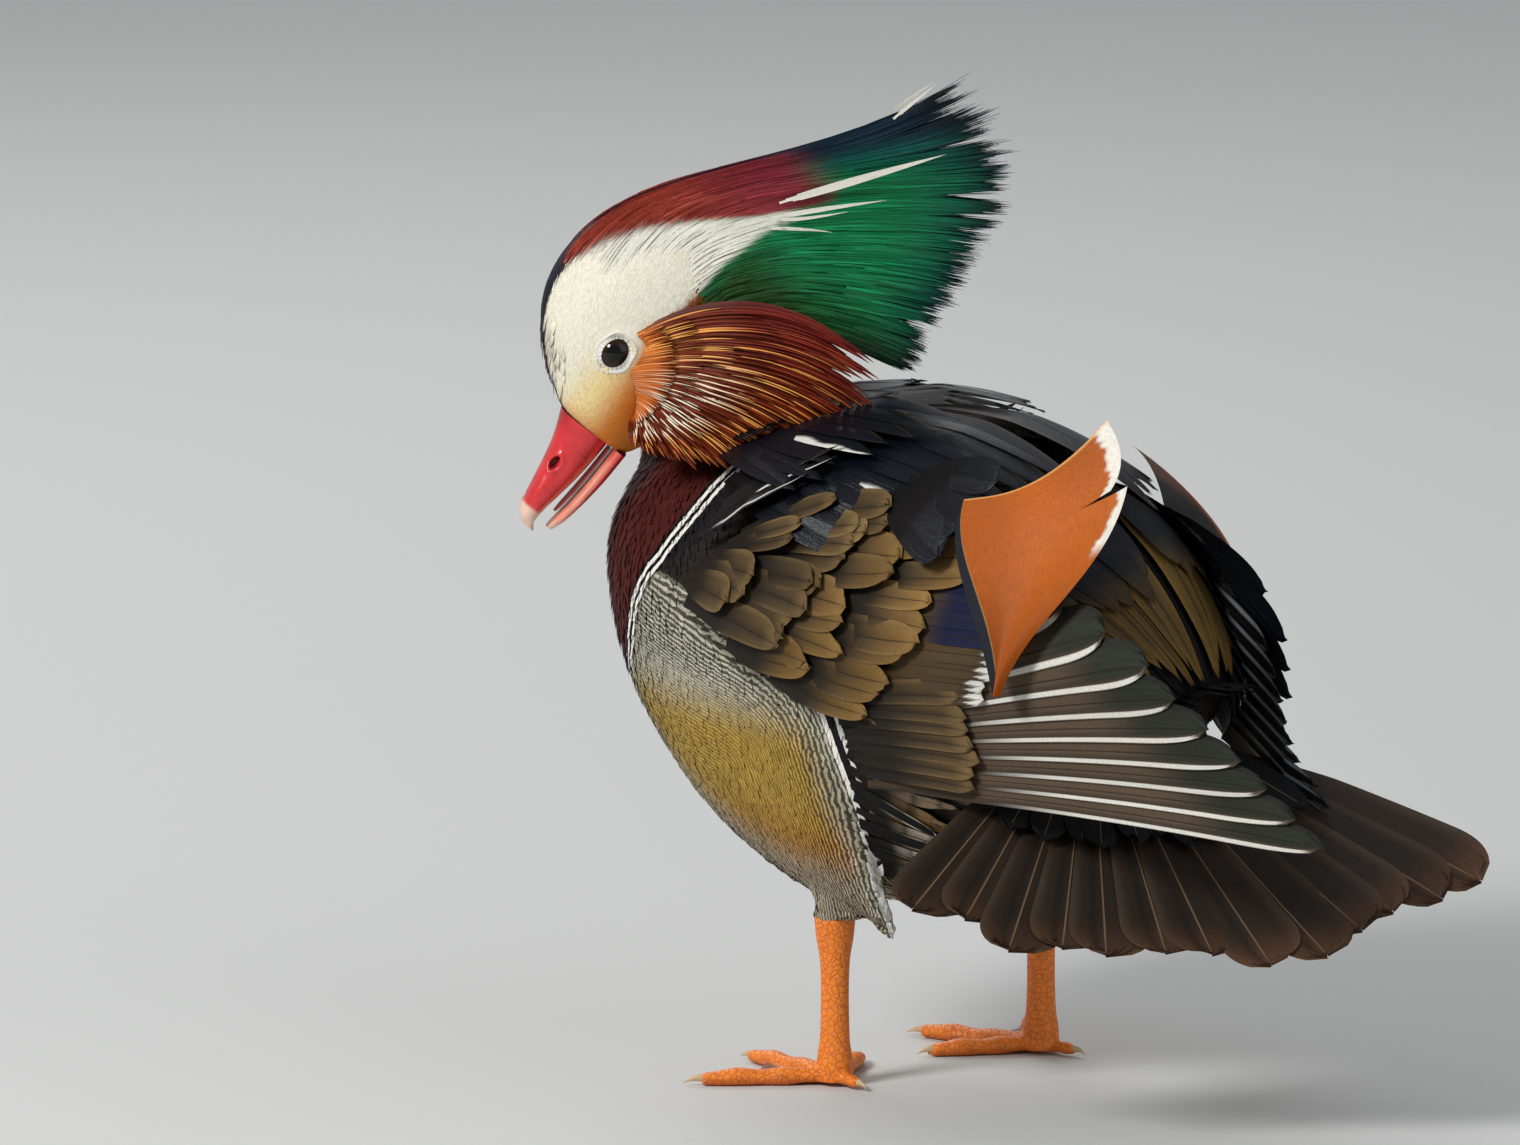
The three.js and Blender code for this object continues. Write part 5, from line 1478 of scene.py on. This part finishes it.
sailFinish = vaneFinish("sail vane", sailLook["gold"], 0.012, 0.45, 0.3, -1.0)
webs, webTints = [], []
for span, gape, reach in sailParts:
    web, t, c = sailGrid(sailPlace, sailShaft, sailRim, 80, 60, lambda t: 3 * np.sin(t * 3),
                         span, 6.0, gape, reach)
    webs.append(web)
    webTints.append(sailPaint(t, c))
outer, t, c = sailGrid(sailPlace, sailShaft, sailEdge, 12, 90, lambda t: 0 * t)
outerTint = painted(sailLook["blue"], (sailLook["gold"], 0.6 * ease(0.12, 0.0, t)))
addVanes("sail_vane_left", [(webs, webTints, [60, 60], 80, 60), ([outer], [outerTint], [12], 12, 90)],
         sailFinish, "sail_plumage", ["sail_left"])
web, t, c = sailGrid(rightPlace, rightShaft, rightRim, 40, 50, lambda t: 10.5 + 0 * t)
# the far sail lies on the shaded side: its orange is painted as the deep orange, as painted shade, and
# blue-black from t 0.4 out
webTint = painted(sailLook["deep"], (sailLook["blue"], ease(0.3, 0.4, t)))
addVanes("sail_vane_right", [([web], [webTint], [40], 40, 50)], sailFinish, "sail_plumage", ["sail_right"])
print("sails made")

# eyes and lids

eyeLook = {
    "radius": 4.9, "pupil": tone(5, 3, 3), "iris": tone(38, 18, 9),
    "opening": (3.8, 3.0), "lid": (5.9, 5.2), "lidDark": tone(70, 60, 54), "lidPale": tone(236, 232, 220),
}


def eyeballFinish():
    f = Finish("eye")
    tint = f.blend(eyeLook["pupil"], eyeLook["iris"], f.number("iris"))
    return f.close({"Base Color": tint}, {"Roughness": 0.05, "Specular IOR Level": 0.35})


def lidFinish():
    f = Finish("lid skin")
    grain = f.noise(f.place(), 1800.0, 3.0)
    tint = f.scaled(f.colour("tint"), grain * 0.3 + 0.85)
    return f.close({"Base Color": tint, "Normal": f.bump(grain, 0.4, 0.0003)}, {"Roughness": 0.5})


def eyeball(sign):
    angle = turns(64)[None, :, None]
    lean = np.linspace(0.001, 2.2, 28)[:, None, None]
    ring = (headForward * np.cos(angle) + headUp * np.sin(angle)) * np.sin(lean)
    iris = (ease(0.42, 0.46, lean) * ease(0.85, 0.75, lean) + 0 * angle)[..., 0]
    return eyeAt(sign) + (ring + headSide * sign * np.cos(lean)) * eyeLook["radius"], iris.ravel()


# distance from the middle to an oval of half axes a and b
def ovalReach(angle, a, b):
    return 1 / np.sqrt((np.cos(angle) / a) ** 2 + (np.sin(angle) / b) ** 2)


# a ring of small beads from the eyeball out to the feathers
def eyelid(sign):
    angle, b = turns(96)[None], np.linspace(0, 1, 16)[:, None]
    rim = ovalReach(angle, *eyeLook["lid"]) * (1 + 0.04 * np.sin(angle * 5 + 1))
    reach = mix(ovalReach(angle, *eyeLook["opening"]), rim, b)
    beads = 0.2 * np.sin(angle * 24 + 1.5 * np.sin(angle * 3)) * np.sin(np.clip(b * 2.4, 0, 1) * math.pi)
    beads = beads + 0.1 * np.sin(angle * 31 + 2) * np.sin(np.clip(b * 2 - 1, 0, 1) * math.pi)
    eyeF, _, eyeU = headLocal(eyeAt(sign))
    forward, up = eyeF + reach * np.cos(angle), eyeU + reach * np.sin(angle)
    ballSide = 12.8 + np.sqrt(np.clip(4.95 ** 2 - reach ** 2, 0, None))
    away = mix(ballSide + 0.1, skullSide(forward, up) - 0.75, ease(0.1, 0.8, b))
    away = away + 0.5 * np.sin(b * math.pi) ** 0.7 + beads
    tint = mix(eyeLook["lidDark"], eyeLook["lidPale"], ease(0.0, 0.16, b)[..., None]) + 0 * angle[..., None]
    # the beads are painted lighter on their raised tops and darker between them, as painted highlight and
    # shade
    return headAt(forward, sign * away, up), tint * (0.9 + 0.9 * beads[..., None])


ballGlass, lidSkin = eyeballFinish(), lidFinish()
for side, sign in sides.items():
    ball, iris = eyeball(sign)
    addPiece("eyeball_" + side, ball, gridFaces(28, 64, closed=True), ballGlass, "eye", ["eye_" + side],
             None, {"iris": iris})
    lid, tint = eyelid(sign)
    addPiece("lid_" + side, lid, gridFaces(16, 96, closed=True), lidSkin, "face_plumage", (), tint)
print("eyes made")

# bill and tongue

billLook = palette(red=(212, 44, 48), dark=(126, 20, 28), pink=(232, 150, 126), nail=(236, 196, 176),
                   nostril=(98, 20, 24), tongue=(206, 104, 96), tongueDeep=(170, 70, 66))
# forward, low, high, half width
upperRows = [
    [19.2, -12.5, 2.4, 7.8],
    [26, -12.3, -0.4, 7.1],
    [32, -11.8, -2, 6.9],
    [38, -10.9, -3.2, 7.1],
    [43, -10.2, -4.2, 6.6],
    [46.6, -10.6, -5.8, 4.6],
    [48.8, -12, -8.3, 1.8],
]
lowerRows = [
    [19.2, -18, -14.4, 6.6],
    [28, -17.8, -14.4, 6],
    [36, -17, -14, 5.8],
    [42, -16, -13.4, 4.8],
    [45.7, -14.8, -13, 2.2],
]
billNet = (70, 72)


def billFinish():
    f = Finish("bill skin")
    place = f.place()
    mottle = f.noise(place, 260.0, 4.0)
    pores = f.noise(place, 1900.0, 2.0)
    tint = f.scaled(f.colour("tint"), mottle * 0.7 + 0.65)
    bump = f.bump(mottle * 1.4 + pores * 0.5, 0.3, 0.0006)
    rough = mottle * 0.25 + 0.18
    return f.close({"Base Color": tint, "Roughness": rough, "Normal": bump}, {"Coat Weight": 0.25})


# 0 in the middle of the nostril, 1 at its edge, for half axes a and b
def nostrilNear(f, u, a, b):
    return ((f - 31) / a) ** 2 + ((u + 4.6) / b) ** 2


def upperDent(rings):
    f, s, u = headLocal(rings)
    near = nostrilNear(f, u, 2.1, 1.1)
    pit = 2.2 * np.clip(1 - near, 0, 1) ** 0.5 - 0.5 * np.exp(-((np.sqrt(near) - 1.25) / 0.25) ** 2)
    for sign in (1, -1):
        rings = rings - np.where(sign * s > 2, sign * pit, 0)[..., None] * headSide
    nail = 0.5 * ease(43.4, 44.2, f) * ease(0, 1, 4 - np.abs(s))
    return rings + nail[..., None] * headUp


def upperTint(rings):
    f, _, u = headLocal(rings)
    rim = through(upperRows, np.linspace(0, 1, len(rings)))[:, 1:2]
    tint = billLook["red"] + 0 * f[..., None]
    tint = mix(tint, billLook["dark"], (0.6 * ease(-2, 1.5, u) * ease(30, 22, f))[..., None])
    tint = mix(tint, billLook["pink"], (0.85 * ease(1.6, 0.4, u - rim) * ease(22, 27, f))[..., None])
    inside = nostrilNear(f, u, 1.8, 0.85) < 0.95
    tint = np.where(inside[..., None], billLook["nostril"], tint)
    return mix(tint, billLook["nail"], ease(43.2, 44.4, f)[..., None])


def lowerTint(rings):
    f, _, u = headLocal(rings)
    tint = mix(billLook["pink"], billLook["red"], ease(-15.2, -17.2, u)[..., None])
    tint = mix(tint, billLook["red"], (0.6 * ease(26, 20, f))[..., None])
    return mix(tint, billLook["nail"], (0.8 * ease(42, 44.5, f))[..., None])


billSkin = billFinish()
upper = skullRings(upperRows, *billNet, 2.6)
lower = skullRings(lowerRows, *billNet, 2.8)
for name, node, rings, tint in (("upper_bill", "bill_upper", upperDent(upper), upperTint(upper)),
                                ("lower_bill", "bill_lower", lower, lowerTint(lower))):
    addPiece(name, rings, gridFaces(*billNet, closed=True), billSkin, "bill", [node], tint)
f = Finish("tongue flesh")
grain = f.noise(f.place(), 1200.0, 3.0)
tint = f.blend(billLook["tongue"], billLook["tongueDeep"], grain)
tongueFinish = f.close({"Base Color": tint, "Normal": f.bump(grain, 0.3, 0.0003)}, {"Roughness": 0.35})
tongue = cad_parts["tongue"]
tongue.data.materials.clear()
tongue.data.materials.append(tongueFinish)
print("bill and tongue made")

# legs and feet

legLook = palette(skin=(246, 134, 34), deep=(206, 92, 20), web=(58, 44, 36), claw=(206, 176, 138))
# height, half width across and along
legRows = [[1, 4.6, 4.9], [7, 4.2, 4.6], [12, 3.5, 3.9], [24, 3.2, 3.7], [32, 3.5, 4], [38, 4.6, 4.9],
           [43, 5.2, 5.2]]
# share of the toe, share of its radius, height
toeRows = [[0, 1.25, 3.2], [0.2, 0.95, 2.6], [0.35, 1.1, 2.3], [0.5, 0.92, 2.1], [0.66, 1.06, 2.1],
           [0.8, 0.86, 1.9], [0.9, 0.72, 1.7]]
# headings in degrees and lengths of the three front toes
toes = {"left": ((218, 160, 112), (37, 40, 31)), "right": ((226, 180, 130), (31, 40, 37))}
upward = np.array([0, 0, 1.0])
groundGap = 0.05


def legFinish():
    f = Finish("leg skin")
    place = f.place()
    cells = f.node("TexVoronoi", {"feature": "DISTANCE_TO_EDGE"}, {"Vector": place, "Scale": 620.0})
    plates = cells.clear(0.0, 0.12)
    grain = f.noise(place, 900.0, 3.0)
    tint = f.blend(legLook["deep"], f.colour("tint"), plates * 0.6 + 0.4)
    bump = f.bump(plates + grain * 0.4, 0.5, 0.0004)
    return f.close({"Base Color": f.scaled(tint, grain * 0.5 + 0.75), "Normal": bump}, {"Roughness": 0.45})


def legParts(x, y):
    c, s = rounded(turns(32), 2)
    rings = []
    for z, across, along in through(legRows, np.linspace(0, 1, 30)):
        rings.append(np.stack([x + along * c, y + across * s, z + 0 * c], -1))
    return tubeParts(rings)


def heading(degrees):
    a = math.radians(degrees)
    return np.array([math.cos(a), math.sin(a), 0]), np.array([-math.sin(a), math.cos(a), 0])


def toeParts(x, y, degrees, length, radius):
    along, side = heading(degrees)
    c, s = [turn[:, None] for turn in rounded(turns(24), 2)]
    rings = []
    for t, r, z in through(toeRows, np.linspace(0, 1, 26)):
        middle = np.array([x, y, max(z, r * radius * 0.86)]) + along * t * length
        rings.append(middle + (c * upward * 0.86 + s * side) * r * radius)
    return tubeParts(rings)


def clawRings(x, y, degrees, length, radius, begin):
    along, side = heading(degrees)
    c, s = [turn[:, None] for turn in rounded(turns(20), 2)]
    rings = []
    for t in np.linspace(0, 1, 14):
        r = radius * (1 - t ** 1.5) + 0.06
        middle = np.array([x, y, 1.9 + 0.5 * math.sin(t * 2.4) - 1.45 * t * t]) + along * (begin + t * length)
        rings.append(middle + (c * upward + s * side * 0.8) * r)
    return np.array(rings)


def webParts(x, y, one, two, length):
    t, c = net(16, 16, (0.05, 0.86))
    a = np.radians(mix(one, two, c))
    reach = length * t * (1 - 0.9 * c * (1 - c) * ease(0.3, 0.86, t))
    at = np.stack([x + np.cos(a) * reach, y + np.sin(a) * reach, 0 * t], -1)
    top, low = at.copy(), at.copy()
    top[..., 2] = 1.9 - 0.7 * t + 0.35 * np.sin(c * math.pi * 3) * t
    low[..., 2] = 0.7 - 0.35 * t
    return plateParts(top, low)


# dark between the toes, deeper on the soles
def footTint(at, out, x, y, headings):
    angle = np.degrees(np.arctan2(at[:, 1] - y, at[:, 0] - x)) % 360
    reach = np.hypot(at[:, 0] - x, at[:, 1] - y)
    off = np.full(len(at), 99.0)
    for degrees in headings:
        turn = np.abs((angle - degrees + 180) % 360 - 180)
        off = np.minimum(off, np.where(turn < 80, reach * np.sin(np.radians(turn)), 99))
    webbed = ease(2.3, 3.4, off) * ease(6.5, 8.5, reach) * ease(4, 3, at[:, 2])
    tint = layered(np.tile(legLook["skin"], (len(at), 1)), legLook["web"], webbed)
    return layered(tint, legLook["deep"], 0.5 * ease(3, 0.5, at[:, 2]) * ease(0.8, 0.2, out[:, 2]))


def addLeg(side, x, y, headings, lengths):
    back = headings[1] + 180
    legPieces = [legParts(x, y)]
    legPieces += [toeParts(x, y, degrees, length, 2.5) for degrees, length in zip(headings, lengths)]
    legPieces += [webParts(x, y, one, two, 34) for one, two in zip(headings, headings[1:])]
    legPieces.append(toeParts(x, y, back, 11.5, 1.75))
    at, out, quads = fuse(legPieces, 0.55, 3)
    at[:, 2] = np.maximum(at[:, 2], groundGap)
    tint = footTint(at, out, x, y, (*headings, back % 360))
    addPiece("leg_skin_" + side, at, quads, legSkin, "leg_skin", ["leg_" + side, "foot_" + side], tint)
    claws = [clawRings(x, y, degrees, length * 0.17, 1.15, length * 0.86)
             for degrees, length in zip(headings, lengths)]
    claws.append(clawRings(x, y, back, 3.6, 0.85, 10))
    claws = np.array(claws)
    claws[..., 2] = np.maximum(claws[..., 2], groundGap)
    addPiece("claws_" + side, claws, gridFaces(14, 20, len(claws), closed=True), clawHorn, "leg_skin", (),
             np.tile(legLook["claw"], (claws.size // 3, 1)))


legSkin = legFinish()
clawHorn = plainPlumage("claw horn", 0.35, 900.0)
for side, (x, y) in legPlaces.items():
    addLeg(side, x, y, *toes[side])
print("legs and feet made")

# floor, lights and camera

stageLook = {
    "distance": 8.0, "azimuth": 35, "elevation": 10, "width": 0.38, "aim": (-0.0585, -0.0292, 0.1301),
    "floor": (0.62, 0.62, 0.6, 1), "sky": (0.9, 0.94, 1.0, 1), "skyLight": 0.35,
}
# metres left of the subject, up and towards the camera, then size and power
lamps = {
    "key": (1.2, 1.0, 1.1, 0.55, 30),
    "fill": (-1.3, 0.6, 0.9, 1.4, 5),
    "rim": (0.4, 1.2, -1.2, 0.9, 8),
}


def addToScene(name, data):
    made = bpy.data.objects.new(name, data)
    made.rotation_mode = "QUATERNION"
    bpy.context.scene.collection.objects.link(made)
    return made


f = Finish("pale floor")
floorFinish = f.close({"Base Color": stageLook["floor"]}, {"Roughness": 0.9})
floorMesh = bpy.data.meshes.new("floor")
floorMesh.from_pydata([(-9, -9, 0), (9, -9, 0), (9, 9, 0), (-9, 9, 0)], [], [(0, 1, 2, 3)])
floorMesh.materials.append(floorFinish)
floor = addToScene("floor", floorMesh)

azimuth, elevation = math.radians(stageLook["azimuth"]), math.radians(stageLook["elevation"])
level = math.cos(elevation)
toCamera = Vector((math.sin(azimuth) * level, -math.cos(azimuth) * level, math.sin(elevation)))
toLeft = Vector((-math.cos(azimuth), -math.sin(azimuth), 0))
aim = Vector(stageLook["aim"])
cameraData = bpy.data.cameras.new("camera")
cameraData.lens = 36 * stageLook["distance"] / stageLook["width"]
cameraData.clip_end = 60
camera = addToScene("camera", cameraData)
camera.location = aim + toCamera * stageLook["distance"]
camera.rotation_quaternion = (-toCamera).to_track_quat("-Z", "Y")
bpy.context.scene.camera = camera

for name, (left, up, near, size, power) in lamps.items():
    data = bpy.data.lights.new(name, "AREA")
    data.size = size
    data.energy = power
    lamp = addToScene(name, data)
    lamp.location = aim + toLeft * left + Vector((0, 0, up)) + toCamera * near
    lamp.rotation_quaternion = (aim - lamp.location).to_track_quat("-Z", "Y")
world = bpy.data.worlds.new("studio")
world.use_nodes = True
world.node_tree.nodes["Background"].inputs[0].default_value = stageLook["sky"]
world.node_tree.nodes["Background"].inputs[1].default_value = stageLook["skyLight"]
bpy.context.scene.world = world
bpy.context.scene.view_settings.view_transform = "Standard"
print("stage made")
